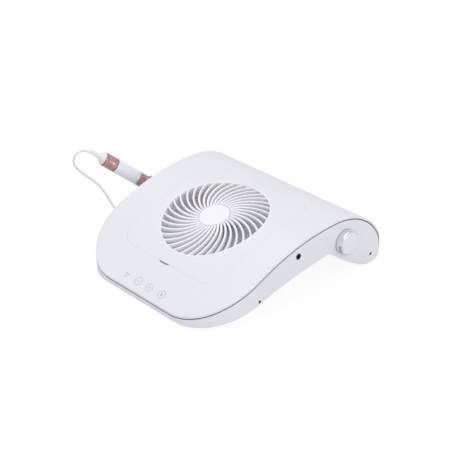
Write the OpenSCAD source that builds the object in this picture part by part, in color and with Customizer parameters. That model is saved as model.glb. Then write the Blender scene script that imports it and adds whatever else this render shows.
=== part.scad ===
// Desktop nail dust collector with a drill handpiece
// A wave-shaped slab rises from a thin front lip to a crest and rolls down into a rear foot.
// A swirl-finned grille in a lift-off cover draws dust through a filter into an axial fan.
// The drill handpiece leans in a cup on the left side. Millimetres, +Z up, front towards -Y.

/* [Body] */
// Width of the slab
body_w = 280; // [250:1:320]
// Depth from the front lip to the back of the rear roll
body_l = 311; // [300:1:325]
// Height of the front lip's top edge
lip_z = 13.5; // [12:0.5:16]
// Height of the crest
crest_z = 90.5; // [86:0.5:96]
// Distance from the front lip to the crest
crest_y = 222; // [216:1:228]
// Radius of the front corners in plan
front_r = 79.5; // [64:0.5:90]
// Radius of the rear corners in plan
rear_r = 5; // [4:0.5:8]
// Height of the rearmost point of the roll
back_z = 23; // [20:1:28]
// Depth of the arch's inner corner from the front
arch_y = 209; // [204:1:214]
// Height of the arch's inner corner
arch_z = 47.5; // [44:0.5:50]
// Thickness of the top skin
top_t = 2.6; // [2.4:0.1:3.2]
// Thickness of the lower shell's floor
floor_t = 2.6; // [2:0.1:3.2]
// Thickness of the side walls
wall_t = 3; // [2.4:0.1:4]
// Height of the shadow gap between the shells
groove_h = 1.2; // [0.8:0.1:1.6]
// Depth of the shadow gap
groove_in = 1.4; // [1:0.1:1.8]

/* [Cover] */
// Width of the cover panel
panel_w = 186; // [180:1:192]
// Front edge of the cover panel
panel_y0 = 46; // [44:0.5:48]
// Rear edge of the cover panel
panel_y1 = 225.5; // [222:0.5:230]
// Corner radius of the cover panel
panel_r = 25; // [18:1:30]
// Thickness of the cover panel
panel_t = 2; // [1.6:0.1:2.2]
// Gap around the cover panel
panel_gap = 0.4; // [0.3:0.05:0.6]
// Width of the ledge that carries the panel
ledge_w = 4.5; // [3:0.1:5]
// Thickness of the ledge
ledge_t = 2.4; // [2:0.1:3]
// Length of the finger notch
notch_w = 21; // [14:1:26]
// Depth of the finger notch in plan
notch_d = 3; // [2:0.1:4]

/* [Grille and fan] */
// Distance from the front lip to the fan's centre
fan_y = 134; // [132:0.5:136]
// Tilt of the fan's axis towards the front
fan_tilt = 15.5; // [14.5:0.5:16.5]
// Radius of the grille's opening
grille_r = 76; // [74:0.5:76.5]
// Radius of the grille's hub
hub_r = 22; // [18:0.5:26]
// Number of fins
fin_n = 36; // [28:1:40]
// Thickness of a fin
fin_w = 2.6; // [1.6:0.1:2.8]
// Depth of a fin
fin_h = 5; // [4:0.1:5.5]
// Sweep of a fin from hub to rim
fin_sweep = 34; // [20:1:45]
// Wall of the grille's skirt
skirt_t = 2; // [1.6:0.1:2.4]
// Depth of the skirt under the fan's centre
skirt_z = 15; // [14:0.5:15.5]
// Thickness of the filter
filter_h = 4; // [3:0.5:5]
// Width of the filter's frame
filter_rim = 4; // [3:0.5:6]
// Radius of the impeller
rotor_r = 60; // [50:0.5:61]
// Radius of the impeller's hub
rotor_hub_r = 20; // [18:0.5:24]
// Height of the impeller
rotor_h = 8; // [6:0.5:9]
// Number of blades
blade_n = 9; // [5:1:11]
// Thickness of a blade
blade_t = 1.6; // [1.2:0.1:2]
// Pitch of a blade
blade_pitch = 32; // [20:1:36]
// Radius of the fan motor
motor_r = 17; // [14:0.5:18]
// Height of the fan motor
motor_h = 5; // [4:0.5:5.5]
// Radius of the fan's shaft
shaft_r = 1.5; // [1:0.1:2]
// Gap between the impeller and its shroud
shroud_gap = 2; // [1.5:0.1:3]
// Wall of the shroud
shroud_t = 2.5; // [2:0.1:3]
// Width of an exhaust slot
vent_w = 4; // [3:0.5:5]
// Spacing of the exhaust slots
vent_pitch = 9; // [8:0.5:12]

/* [Knob] */
// Distance from the front lip to the knob's axis
knob_y = 236; // [234:0.5:238]
// Height of the knob's axis
knob_z = 56; // [55:0.5:57]
// Radius of the knob
knob_r = 16.8; // [15:0.1:17.2]
// How far the knob stands out
knob_out = 12; // [9:0.5:14]
// Thickness of the knob's bright skirt
knob_skin = 1; // [0.8:0.1:1.4]
// Width of the bezel ring around the knob
bezel_w = 1.4; // [1.2:0.1:1.6]
// Radius of the knob's shaft
spindle_r = 3; // [2.5:0.1:3.5]
// Radius of the potentiometer
pot_r = 8; // [7:0.5:8.5]
// Length of the potentiometer
pot_l = 9; // [7:0.5:12]

/* [Sockets] */
// Distance from the front lip to the power socket
dc_y = 150; // [146:0.5:154]
// Height of the power socket
dc_z = 66.5; // [65:0.5:68]
// Outer radius of the power socket
dc_r = 4.2; // [3.8:0.1:4.6]
// Radius of the power socket's hole
dc_bore = 2.75; // [2.5:0.05:3]
// Length of the power socket
dc_l = 13; // [11:0.5:15]
// Distance from the front lip to the handpiece's socket
lead_y = 96; // [95:0.5:98]
// Height of the handpiece's socket
lead_z = 38; // [37.5:0.5:39]
// Outer radius of the handpiece's socket
lead_r = 4; // [3.5:0.1:4.2]
// Length of the handpiece's socket
lead_l = 14; // [12:0.5:16]
// Radius of the plug's pin
pin_r = 1.7; // [1.5:0.05:1.75]
// Length of the plug's pin
pin_l = 11; // [9:0.5:11.5]

/* [Handpiece] */
// Distance from the front lip to the middle of the cup's mouth
tool_y = 155; // [154:0.5:156]
// Height of the middle of the cup's mouth
tool_z = 57; // [56:0.5:58]
// Distance of the cup's mouth from the side
tool_gap = 24.5; // [24:0.5:26]
// Angle of the handpiece above the table
tool_lift = 38; // [36:1:40]
// Angle of the handpiece in plan, from the body's width
tool_turn = 62; // [60:1:64]
// Radius of the handpiece
tool_r = 10; // [9.5:0.05:10.2]
// Length of the nose inside the cup
nose_l = 30; // [26:0.5:32]
// Length of the collar outside the cup
collar_l = 18.5; // [17:0.5:22]
// Length of the bright ring
ring_l = 3; // [2:0.5:4]
// Length of the white barrel
barrel_l = 35.5; // [32:0.5:40]
// Length of the coloured rear sleeve
sleeve_l = 20.5; // [18:0.5:24]
// Length of the tail cap
tail_l = 6; // [5:0.5:8]
// Length of the cord's strain relief
relief_l = 14; // [12:0.5:18]
// Wall of the barrel and the rear sleeve
barrel_t = 1.6; // [1.2:0.1:2]
// Radius of the spindle housing inside the collar
housing_r = 6.4; // [5.5:0.1:7]
// Radius of the drill's spindle
drill_r = 3; // [2.5:0.1:3.5]
// Radius of the bit's hole in the collet
bit_r = 1.175; // [1.1:0.025:1.2]
// Outer radius of the cup
holder_r = 13.2; // [12.8:0.1:14]
// Wall of the soft sleeve in the cup
grip_t = 1.2; // [1:0.1:1.4]
// Depth of the cup
holder_l = 35; // [33:0.5:38]
// Length of the arm between the cup and the side, along the handpiece
arm_l = 16; // [12:0.5:20]
// Radius of the cord
cord_r = 1.75; // [1.5:0.05:2]

/* [Fasteners and feet] */
// Radius of the screw posts
post_r = 4.5; // [4:0.1:5.5]
// Radius of the screws
screw_r = 1.5; // [1.2:0.1:1.8]
// Radius of the screw heads
head_r = 2.8; // [2.4:0.1:3]
// Height of the screw heads
head_h = 2; // [1.6:0.1:2.4]
// Depth of the screw heads in their wells
well_d = 3; // [2.5:0.1:3.5]
// Distance of the screws from the sides
screw_in = 22; // [20:0.5:24]
// Radius of the front feet
foot_r = 8; // [6:0.5:9]
// Distance of the front feet from the front lip
foot_y = 46; // [44:0.5:48]
// Distance of the feet from the middle
foot_x = 84; // [76:1:86]
// Thickness of the rear pads
pad_t = 1.6; // [1.2:0.1:2]
// Length of a rear pad
pad_l = 46; // [36:1:54]
// Width of a rear pad
pad_w = 7.5; // [6:0.5:8]
// Radius of the side plugs
plug_r = 2.2; // [1.8:0.1:2.4]

/* [Boards] */
// Width of the touch board
touch_w = 94; // [86:1:98]
// Distance from the front lip to the touch board
touch_y = 6; // [5:0.5:8]
// Depth of the touch board
touch_l = 19; // [16:0.5:21]
// Thickness of the touch board
touch_t = 1.2; // [1:0.1:1.4]
// Distance of the control board from the side
board_in = 34; // [33:0.5:35]
// Width of the control board
board_w = 26; // [22:0.5:27]
// Depth of the control board
board_l = 76; // [60:1:78]
// Thickness of the control board
board_t = 1.6; // [1.2:0.1:2]
// Depth of the control board under the fan's centre
board_drop = 24; // [22:0.5:25]

/* [Fits] */
// Radial clearance of running fits
run_gap = 0.05; // [0.02:0.01:0.08]
// Clearance between bodies that move
move_gap = 0.4; // [0.3:0.05:0.6]

/* [Hidden] */
$fn = 64;
n_ramp = 20;
n_roll = 14;
n_heel = 6;
n_instep = 8;
n_belly = 14;
side_x = body_w / 2;
toe = [3, 1.3];
front_over = 6;
sole_y = body_l - 26;
heel_y = body_l - 18;
tool_out = collar_l + ring_l + barrel_l + sleeve_l + tail_l + relief_l;
relief_r = cord_r + 0.9;
tool_reach = cos(tool_lift) * cos(tool_turn);
tail_out = tool_gap + tool_out * tool_reach + relief_r * sqrt(1 - tool_reach * tool_reach);
origin_x = (knob_out - tail_out) / 2;
white = [0.93, 0.93, 0.95];
pale = [0.86, 0.86, 0.9];
rose = [0.8, 0.58, 0.55];
steel = [0.75, 0.75, 0.78];
black = [0.08, 0.08, 0.09];
grey = [0.6, 0.6, 0.65];

// Side view of the slab as curves of [distance from the front, height], clockwise from the lip
ramp = [[0, lip_z], [76, lip_z + 49.3], [crest_y - 83, crest_z], [crest_y, crest_z]];
roll = [[crest_y, crest_z], [crest_y + 49.5, crest_z], [body_l, back_z + 30], [body_l, back_z]];
heel = [[body_l, back_z], [body_l, back_z - 12.6], [heel_y + 14, pad_t], [heel_y, pad_t]];
instep = [[sole_y, pad_t], [sole_y - 14, pad_t], [arch_y + 19, arch_z - 17], [arch_y, arch_z]];
belly = [[arch_y, arch_z], [95, 36.7], [55.4, 12.9], toe];

function bez(c, t) =
    pow(1 - t, 3) * c[0] + 3 * pow(1 - t, 2) * t * c[1] + 3 * (1 - t) * t * t * c[2] + pow(t, 3) * c[3];
function slope(c, t) =
    pow(1 - t, 2) * (c[1] - c[0]) + 2 * (1 - t) * t * (c[2] - c[1]) + t * t * (c[3] - c[2]);
function inward(v) = [v[1], -v[0]] / norm(v);
function line_of(c, n, d, first = 0, last = 1) =
    [for (i = [first : n]) let (t = last * i / n) bez(c, t) + d * inward(slope(c, t))];
function flip(p) = [for (i = [len(p) - 1 : -1 : 0]) p[i]];
function t_at(c, y, lo = 0, hi = 1, n = 24) =
    let (m = (lo + hi) / 2)
    n == 0 ? m
    : (bez(c, m)[0] < y) == (c[0][0] < c[3][0]) ? t_at(c, y, m, hi, n - 1)
    : t_at(c, y, lo, m, n - 1);
function top_z(y) = y < crest_y ? bez(ramp, t_at(ramp, y))[1] : bez(roll, t_at(roll, y))[1];
function under_z(y) = bez(belly, t_at(belly, y))[1];
function lead_in(d) =
    let (v = slope(ramp, 0), p = ramp[0] + d * inward(v))
    p + v * (-front_over - p[0]) / v[0];
function top_line(d) = concat([lead_in(d)], line_of(ramp, n_ramp, d), line_of(roll, n_roll, d, 1));
function under_line(d, last) =
    concat(line_of(heel, n_heel, d), line_of(instep, n_instep, d), line_of(belly, n_belly, d, 0, last));

fan_z = top_z(fan_y);
post_rows = [54, 102, 198];
screw_at = [for (s = [-1, 1], y = post_rows) [s * (side_x - (y < 60 ? screw_in + 8 : screw_in)), y]];
fin_floor = skirt_z - 1.4;
filter_z = fin_floor + filter_h + 0.2;
rotor_z = filter_z + 2;
motor_z = rotor_z + rotor_h + 0.5;
shroud_r = rotor_r + shroud_gap;
face_x = -side_x;
ring_x = -collar_l;
barrel_x = ring_x - ring_l;
sleeve_x = barrel_x - barrel_l;
tail_x = sleeve_x - sleeve_l;
relief_x = tail_x - tail_l;
tip_x = relief_x - relief_l;
nose_x = nose_l;
collar_end = 16;
cup_bore = tool_r + run_gap + grip_t;
plug_body = 18;
plug_y = front_r + 2.5;
plug_at = [[plug_y, under_z(plug_y) + 4.5], [body_l - 20.5, 14.8]];
plug_l = wall_t - 0.8;
plug_sink = 0.6;

// A point on the handpiece's axis, x towards its nose from the cup's mouth
function tool_at(x) = [-side_x - tool_gap + x * tool_reach, tool_y + x * cos(tool_lift) * sin(tool_turn),
    tool_z - x * sin(tool_lift)];

// The cord's path from the handpiece's tail round in the air to its plug
cord_side = [0.64, -0.59, 0.49];
cord_route = [
    tool_at(tip_x + 8), tool_at(tip_x), [-202.3, 82, 119], [-204, 77, 121.2], [-205.7, 71.5, 121.5],
    [-207.2, 66.4, 119.2], [-208.4, 63, 114.9], [-209.3, 61.5, 109.3], [-209.8, 62.4, 103.6],
    [-210.1, 64.9, 98.3], [-210.1, 68.1, 93.5], [-209.9, 71.8, 89], [-209.4, 75.6, 84.7],
    [-208.5, 79.5, 80.5], [-207.3, 83.5, 76.5], [-205.8, 87.4, 72.5], [-203.9, 91, 68.4],
    [-201.5, 94, 64], [-198.9, 96.5, 59.5], [-195.9, 98.6, 55], [-192.6, 100.1, 50.4],
    [-189.3, 101.1, 45.8], [-185.4, 101.5, 41.5], [-180.5, 101.1, 38.4], [-175, 99.5, 37.2],
    [-169.5, 97.3, 37.4], [face_x - plug_body - 6, lead_y + 0.2, lead_z - 0.1],
    [face_x - plug_body - 3, lead_y, lead_z], [face_x - plug_body, lead_y, lead_z]
];

// Shared shapes

module place() translate([-origin_x, -body_l / 2, 0]) children();

module across(points, w) rotate([90, 0, 90]) translate([0, 0, -w / 2]) linear_extrude(w) polygon(points);

module upright() translate([0, 0, -40]) linear_extrude(crest_z + 120) children();

module at_fan() translate([0, fan_y, fan_z]) rotate([fan_tilt, 0, 0]) children();

module along_x(x, y, z) translate([x, y, z]) rotate([0, 90, 0]) children();

module at_tool() translate([-side_x - tool_gap, tool_y, tool_z]) rotate([0, tool_lift, tool_turn]) children();

module along_tool() at_tool() rotate([0, 90, 0]) children();

module round_rect(w, y0, y1, r) {
    translate([-w / 2, y0 + r]) square([w, y1 - y0 - 2 * r]);
    translate([-w / 2 + r, y0]) square([w - 2 * r, y1 - y0]);
    for (s = [-1, 1], y = [y0 + r, y1 - r]) translate([s * (w / 2 - r), y]) circle(r);
}

module plan(i) {
    translate([-side_x + i, front_r]) square([body_w - 2 * i, body_l - front_r - rear_r]);
    translate([-side_x + front_r, i]) square([body_w - 2 * front_r, front_r]);
    translate([-side_x + rear_r, body_l / 2]) square([body_w - 2 * rear_r, body_l / 2 - i]);
    for (s = [-1, 1]) {
        translate([s * (side_x - front_r), front_r]) circle(front_r - i, $fn = 96);
        translate([s * (side_x - rear_r), body_l - rear_r]) circle(rear_r - i);
    }
}

module panel_plan(i) round_rect(panel_w - 2 * i, panel_y0 + i, panel_y1 - i, panel_r - i);

module band(d0, d1) across(concat(top_line(d0), flip(top_line(d1))), body_w + 40);

module under_skin(d) across(concat(top_line(d), [[body_l - d, -40], [-20, -40], [-20, 0]]), body_w + 40);

module over_floor()
    across(concat(under_line(floor_t, 0.93), [[20, 200], [body_l + 40, 200], [body_l + 40, back_z]]), body_w);

module lower_outline()
    polygon(concat(top_line(top_t), line_of(heel, n_heel, 0), line_of(instep, n_instep, 0),
        line_of(belly, n_belly, 0, 1)));

module ring(r0, r1, z0, z1) translate([0, 0, z0]) difference() {
    cylinder(h = z1 - z0, r = r1);
    translate([0, 0, -1]) cylinder(h = z1 - z0 + 2, r = r0);
}

// Body

module at_posts() for (p = screw_at)
    translate([p[0], p[1], (top_z(p[1]) + under_z(p[1])) / 2]) children();

module top_shell() color(white) place() difference() {
    union() {
        intersection() {
            band(0, top_t);
            upright() plan(0);
        }
        intersection() {
            band(panel_t, panel_t + ledge_t);
            upright() panel_plan(-ledge_w);
        }
        intersection() {
            at_posts() cylinder(h = 60, r = post_r);
            under_skin(top_t / 2);
        }
    }
    intersection() {
        band(-8, panel_t);
        upright() {
            panel_plan(-panel_gap);
            translate([0, panel_y0]) round_rect(notch_w, -notch_d, notch_d, notch_d * 0.9);
        }
    }
    upright() panel_plan(ledge_w);
    at_posts() translate([0, 0, -1]) cylinder(h = 9, r = screw_r);
}

module vents() at_fan() for (x = [-5 : 5], s = [-1, 1]) {
    reach = sqrt(pow(rotor_r - 6, 2) - pow(x * vent_pitch, 2));
    translate([x * vent_pitch - vent_w / 2, s > 0 ? motor_r + 5 : -reach, -60])
        cube([vent_w, reach - motor_r - 5, 30]);
}

module side_holes() {
    along_x(side_x - 2 * wall_t, dc_y, dc_z) cylinder(h = 4 * wall_t, r = dc_r);
    along_x(side_x - 2 * wall_t, knob_y, knob_z) cylinder(h = 4 * wall_t, r = spindle_r + run_gap);
    along_x(side_x - 1, knob_y, knob_z) cylinder(h = 10, r = knob_r + move_gap + bezel_w);
    along_x(-side_x - 2 * wall_t, lead_y, lead_z) cylinder(h = 4 * wall_t, r = lead_r);
    for (s = [-1, 1], p = plug_at)
        along_x(s * side_x - wall_t, p[0], p[1]) cylinder(h = 2 * wall_t, r = plug_r);
}

module board_posts() intersection() {
    at_fan() for (x = [board_in + 4, board_in + board_w - 4], y = [-1, 1])
        translate([side_x - x, y * (board_l / 2 - 6), -60]) cylinder(h = 60 - board_drop, r = 3);
    over_floor();
}

module bottom_shell() color(white) place() difference() {
    union() {
        difference() {
            intersection() {
                rotate([90, 0, 90]) translate([0, 0, -side_x - 10]) linear_extrude(body_w + 20)
                    lower_outline();
                upright() plan(0);
            }
            intersection() {
                over_floor();
                upright() plan(wall_t);
            }
        }
        board_posts();
        intersection() {
            at_posts() translate([0, 0, -40]) cylinder(h = 40, r = post_r);
            over_floor();
        }
    }
    difference() {
        band(top_t - 1, top_t + groove_h);
        upright() plan(groove_in);
    }
    intersection() {
        band(top_t - 1, top_t + touch_t + 0.4);
        upright() round_rect(touch_w + 2, touch_y - 1, touch_y + touch_l + 1, 3);
    }
    vents();
    side_holes();
    for (p = screw_at) translate([p[0], p[1], 0]) {
        translate([0, 0, -1]) cylinder(h = 90, r = screw_r);
        translate([0, 0, under_z(p[1]) - 20]) cylinder(h = 20 + well_d + head_h, r = head_r);
    }
}

module touch_board() color(grey) place() intersection() {
    band(top_t, top_t + touch_t);
    upright() round_rect(touch_w, touch_y, touch_y + touch_l, 3);
}

module case_screws() color(steel) place() for (p = screw_at) translate([p[0], p[1], 0]) {
    z = under_z(p[1]) + well_d;
    translate([0, 0, z]) cylinder(h = head_h, r = head_r);
    translate([0, 0, z]) cylinder(h = (top_z(p[1]) + under_z(p[1])) / 2 + 8 - z, r = screw_r);
}

module side_plugs() color(black) place() for (s = [-1, 1], p = plug_at)
    along_x(s * (side_x - plug_sink - plug_l / 2), p[0], p[1])
        cylinder(h = plug_l, r = plug_r, center = true);

module front_feet() color(grey) place() intersection() {
    for (s = [-1, 1]) translate([s * foot_x, foot_y, 0]) cylinder(h = 40, r = foot_r);
    across(concat(line_of(belly, n_belly, 0), [[toe[0], -10], [arch_y, -10]]), body_w);
}

module rear_pads() color(grey) place() for (s = [-1, 1])
    translate([s * foot_x - pad_l / 2, (sole_y + heel_y - pad_w) / 2, 0]) cube([pad_l, pad_w, pad_t]);

// Fan

module fan_shroud() color(pale) place() intersection() {
    at_fan() {
        ring(shroud_r, shroud_r + shroud_t, -70, -rotor_z + 1);
        ring(shroud_r, grille_r - 2, -rotor_z, -rotor_z + 1.5);
    }
    over_floor();
}

module motor_mount() color(pale) place() intersection() {
    at_fan() translate([0, 0, -motor_z - motor_h - 30]) cylinder(h = 30, r = motor_r + 2);
    over_floor();
}

module fan_motor() color(steel) place() at_fan() difference() {
    translate([0, 0, -motor_z - motor_h]) cylinder(h = motor_h, r = motor_r);
    translate([0, 0, -motor_z - motor_h + 1]) cylinder(h = motor_h, r = shaft_r + run_gap);
}

module fan_shaft() color(steel) place() at_fan()
    translate([0, 0, -motor_z - motor_h + 1.5]) cylinder(h = motor_h + rotor_h - 1, r = shaft_r);

module fan_impeller() color(pale) place() at_fan() difference() {
    union() {
        translate([0, 0, -rotor_z - rotor_h]) cylinder(h = rotor_h, r = rotor_hub_r);
        intersection() {
            for (i = [0 : blade_n - 1]) rotate([0, 0, i * 360 / blade_n])
                translate([rotor_hub_r - 2, 0, -rotor_z - rotor_h / 2]) rotate([blade_pitch, 0, 0])
                    translate([0, -8, -blade_t / 2]) cube([rotor_r, 16, blade_t]);
            translate([0, 0, -rotor_z - rotor_h]) cylinder(h = rotor_h, r = rotor_r);
        }
    }
    translate([0, 0, -rotor_z - rotor_h - 1]) cylinder(h = motor_h + rotor_h, r = shaft_r);
}

// Cover

module cover_panel() color(white) place() difference() {
    intersection() {
        band(0, panel_t);
        upright() panel_plan(0);
    }
    at_fan() translate([0, 0, -40]) cylinder(h = 80, r = grille_r);
}

function fin_edge(side) = [for (i = [0 : 6])
    let (r = hub_r - 1 + (grille_r - hub_r) * i / 6, a = -fin_sweep * i / 6 + side * fin_w / 2 / r * 180 / PI)
    r * [cos(a), sin(a)]];

module fins_plan() {
    for (i = [0 : fin_n - 1]) rotate(i * 360 / fin_n) polygon(concat(fin_edge(1), flip(fin_edge(-1))));
    circle(hub_r);
}

module grille() color(white) place() {
    intersection() {
        at_fan() translate([0, 0, -fin_floor]) linear_extrude(60) {
            intersection() {
                fins_plan();
                circle(grille_r - skirt_t / 2);
            }
        }
        band(0.6, 0.6 + fin_h);
    }
    intersection() {
        at_fan() ring(grille_r - skirt_t, grille_r, -skirt_z, 30);
        under_skin(0);
    }
}

module hub_cap() color(white) place() intersection() {
    at_fan() translate([0, 0, -30]) cylinder(h = 60, r = hub_r - 1.5);
    band(-0.4, 0.6);
}

module filter_frame() color(pale) place() at_fan()
    ring(grille_r - skirt_t - filter_rim, grille_r - skirt_t, -filter_z, -filter_z + filter_h);

module filter_media() color(grey) place() at_fan()
    translate([0, 0, -filter_z + 0.5]) cylinder(h = filter_h - 1, r = grille_r - skirt_t - filter_rim);

// Speed knob

module knob_bezel() color(pale) place() along_x(side_x - 1, knob_y, knob_z)
    ring(knob_r + move_gap, knob_r + move_gap + bezel_w, 0, 1.6);

module potentiometer() color(grey) place() along_x(side_x - wall_t - pot_l, knob_y, knob_z) difference() {
    cylinder(h = pot_l, r = pot_r);
    translate([0, 0, 1]) cylinder(h = pot_l, r = spindle_r + run_gap);
}

module knob_shaft() color(steel) place() along_x(side_x - wall_t - pot_l + 1.5, knob_y, knob_z)
    cylinder(h = wall_t + pot_l + knob_out - 4, r = spindle_r);

module speed_knob() color(white) place() along_x(side_x - 0.6, knob_y, knob_z) difference() {
    rotate_extrude() polygon([[0, 0], [knob_r - knob_skin, 0], [knob_r - knob_skin, knob_out - 0.6],
        [knob_r - knob_skin - 1.2, knob_out + 0.6], [0, knob_out + 0.6]]);
    translate([0, 0, -1]) cylinder(h = knob_out - 0.9, r = spindle_r);
}

module knob_skirt() color(steel) place() along_x(side_x - 0.6, knob_y, knob_z)
    ring(knob_r - knob_skin, knob_r, 0, knob_out - 0.6);

// Sockets

module dc_jack() color(black) place() along_x(side_x - dc_l, dc_y, dc_z) {
    difference() {
        cylinder(h = dc_l + 0.3, r = dc_r);
        translate([0, 0, 3]) cylinder(h = dc_l, r = dc_bore);
    }
    translate([0, 0, 2]) cylinder(h = dc_l - 4, r = 1);
}

module lead_jack() color(black) place() along_x(-side_x, lead_y, lead_z) difference() {
    cylinder(h = lead_l, r = lead_r);
    translate([0, 0, -1]) cylinder(h = pin_l + 2, r = pin_r + run_gap);
}

module control_board() color([0.1, 0.35, 0.2]) place() at_fan()
    translate([side_x - board_in - board_w, -board_l / 2, -board_drop]) cube([board_w, board_l, board_t]);

module cup_arm() along_tool() translate([0, 0, 1]) cylinder(h = arm_l, r = holder_r - 1, $fn = 40);

module holder() color(white) place() intersection() {
    union() {
        along_tool() {
            ring(cup_bore, holder_r, 0, holder_l);
            translate([0, 0, holder_l]) cylinder(h = 2, r = holder_r);
        }
        difference() {
            hull() {
                cup_arm();
                translate([2 * tool_gap, 0, 0]) cup_arm();
            }
            along_tool() translate([0, 0, -1]) cylinder(h = holder_l + 1, r = cup_bore + 0.3);
        }
    }
    translate([-side_x - 3 * tool_gap, 0, 0]) cube([3 * tool_gap, body_l, crest_z]);
}

module holder_grip() color(grey) place() along_tool() ring(tool_r + run_gap, cup_bore, 0, holder_l);

// Handpiece, its nose down in the cup and its tail up towards the front

module spin_x(points) place() along_tool() rotate_extrude() polygon(points);

module tail_cap() color(white) spin_x([[cord_r, relief_x], [tool_r - 5, relief_x],
    [tool_r - 2.2, relief_x + 2.5], [tool_r - 0.9, tail_x], [tool_r - barrel_t, tail_x],
    [tool_r - barrel_t, tail_x + 4], [cord_r, tail_x + 4]]);

module strain_relief() color(white) spin_x([[cord_r, tip_x], [relief_r, tip_x], [cord_r + 2.7, relief_x],
    [cord_r, relief_x]]);

module rear_sleeve() color(rose) spin_x([[tool_r - barrel_t, tail_x], [tool_r - 0.3, tail_x],
    [tool_r, tail_x + 1], [tool_r, tail_x + 6], [tool_r - 0.4, tail_x + 6.6], [tool_r - 0.4, tail_x + 9],
    [tool_r, tail_x + 9.6], [tool_r, sleeve_x], [tool_r - barrel_t, sleeve_x]]);

module barrel() color(white) spin_x([[tool_r - barrel_t, sleeve_x], [tool_r, sleeve_x], [tool_r, barrel_x],
    [tool_r - barrel_t, barrel_x]]);

module drill_motor() color(steel) spin_x([[0, tail_x + 4], [tool_r - barrel_t, tail_x + 4],
    [tool_r - barrel_t, barrel_x], [0, barrel_x]]);

module bright_ring() color(steel) spin_x([[0, barrel_x], [tool_r + 0.15, barrel_x],
    [tool_r + 0.15, ring_x - 0.4], [0, ring_x - 0.4]]);

module spindle_housing() color(steel) spin_x([[drill_r + run_gap, ring_x - 0.4], [housing_r, ring_x - 0.4],
    [housing_r, collar_end - 2], [drill_r + run_gap, collar_end - 2]]);

module twist_collar() color(rose) spin_x([[housing_r + run_gap, ring_x], [tool_r, ring_x],
    [tool_r, ring_x + 8], [tool_r - 0.5, ring_x + 8.6], [tool_r - 0.5, ring_x + 11], [tool_r, ring_x + 11.6],
    [tool_r, collar_end - 6], [tool_r - 3.5, collar_end], [housing_r - 1.6, collar_end],
    [housing_r - 1.6, collar_end - 1.6], [housing_r + run_gap, collar_end - 1.6]]);

module drill_spindle() color(steel) spin_x([[0, ring_x + 0.4], [drill_r, ring_x + 0.4],
    [drill_r, collar_end + 6], [0, collar_end + 6]]);

module collet() color(steel) spin_x([[bit_r, collar_end + 6], [drill_r, collar_end + 6],
    [drill_r, nose_x - 3], [drill_r - 1, nose_x], [bit_r, nose_x]]);

// Cord

module cord_plug() color(white) place() along_x(0, lead_y, lead_z) rotate_extrude()
    polygon([[0, face_x - plug_body], [cord_r + 0.8, face_x - plug_body], [lead_r - 0.4, face_x - 8],
        [lead_r - 0.4, face_x], [pin_r, face_x], [pin_r, face_x + pin_l - 1], [0, face_x + pin_l]]);

function unit(v) = v / norm(v);
function cord_dir(i) = unit(cord_route[min(i + 1, len(cord_route) - 1)] - cord_route[max(i - 1, 0)]);

module cord_lead() color(pale) place() {
    sides = 8;
    n = len(cord_route);
    rings = [for (i = [0 : n - 1], k = [0 : sides - 1])
        let (d = cord_dir(i), u = unit(cross(d, cord_side)), v = cross(d, u), a = 360 * k / sides)
        cord_route[i] + (cord_r - 0.05) * (cos(a) * u + sin(a) * v)];
    walls = [for (i = [0 : n - 2], k = [0 : sides - 1]) let (m = (k + 1) % sides)
        [i * sides + k, i * sides + m, (i + 1) * sides + m, (i + 1) * sides + k]];
    ends = [[for (k = [sides - 1 : -1 : 0]) k], [for (k = [0 : sides - 1]) (n - 1) * sides + k]];
    polyhedron(rings, concat(walls, ends), convexity = 6);
}

bottom_shell();
top_shell();
touch_board();
case_screws();
side_plugs();
front_feet();
rear_pads();
fan_shroud();
motor_mount();
fan_motor();
fan_shaft();
fan_impeller();
cover_panel();
grille();
hub_cap();
filter_frame();
filter_media();
knob_bezel();
potentiometer();
knob_shaft();
speed_knob();
knob_skirt();
dc_jack();
lead_jack();
control_board();
holder();
holder_grip();
tail_cap();
strain_relief();
rear_sleeve();
barrel();
drill_motor();
bright_ring();
spindle_housing();
twist_collar();
drill_spindle();
collet();
cord_plug();
cord_lead();
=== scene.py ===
"""Looks of a desktop nail dust collector: wave shells, swirl grille, knob, drill handpiece and cord."""

import functools
import logging
import math
from collections.abc import Iterable, Sequence
from dataclasses import dataclass, field
from enum import Enum

import bpy
from mathutils import Euler, Matrix, Vector


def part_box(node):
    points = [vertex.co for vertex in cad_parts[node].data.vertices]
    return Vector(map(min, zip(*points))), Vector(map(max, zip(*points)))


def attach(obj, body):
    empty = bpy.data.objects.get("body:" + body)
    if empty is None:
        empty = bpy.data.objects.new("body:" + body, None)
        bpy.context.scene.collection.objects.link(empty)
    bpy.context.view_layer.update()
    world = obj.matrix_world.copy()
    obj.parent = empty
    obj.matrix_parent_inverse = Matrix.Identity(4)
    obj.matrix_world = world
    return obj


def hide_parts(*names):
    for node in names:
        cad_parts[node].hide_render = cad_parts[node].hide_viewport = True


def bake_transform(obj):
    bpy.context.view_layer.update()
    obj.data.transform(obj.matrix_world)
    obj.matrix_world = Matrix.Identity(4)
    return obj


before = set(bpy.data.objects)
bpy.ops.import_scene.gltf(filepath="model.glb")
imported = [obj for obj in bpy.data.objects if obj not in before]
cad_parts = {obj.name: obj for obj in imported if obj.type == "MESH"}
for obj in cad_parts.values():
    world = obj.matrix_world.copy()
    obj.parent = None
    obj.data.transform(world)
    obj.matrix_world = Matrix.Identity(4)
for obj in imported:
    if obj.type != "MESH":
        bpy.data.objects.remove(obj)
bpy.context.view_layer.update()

LOG = logging.getLogger("dust_collector")
Flat = tuple[float, float]

# Lengths in metres: the unit of the sizes below, then how near points merge, melt away and count as level
MM = 0.001
WELD = 0.002 * MM
MELT = 0.004 * MM
LEVEL = 0.01 * MM

# The handpiece's lean and turn, and the way its nose points
LIFT = math.radians(38)
TURN = math.radians(62)
NOSE = (math.cos(LIFT) * math.cos(TURN), math.cos(LIFT) * math.sin(TURN), -math.sin(LIFT))


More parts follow.
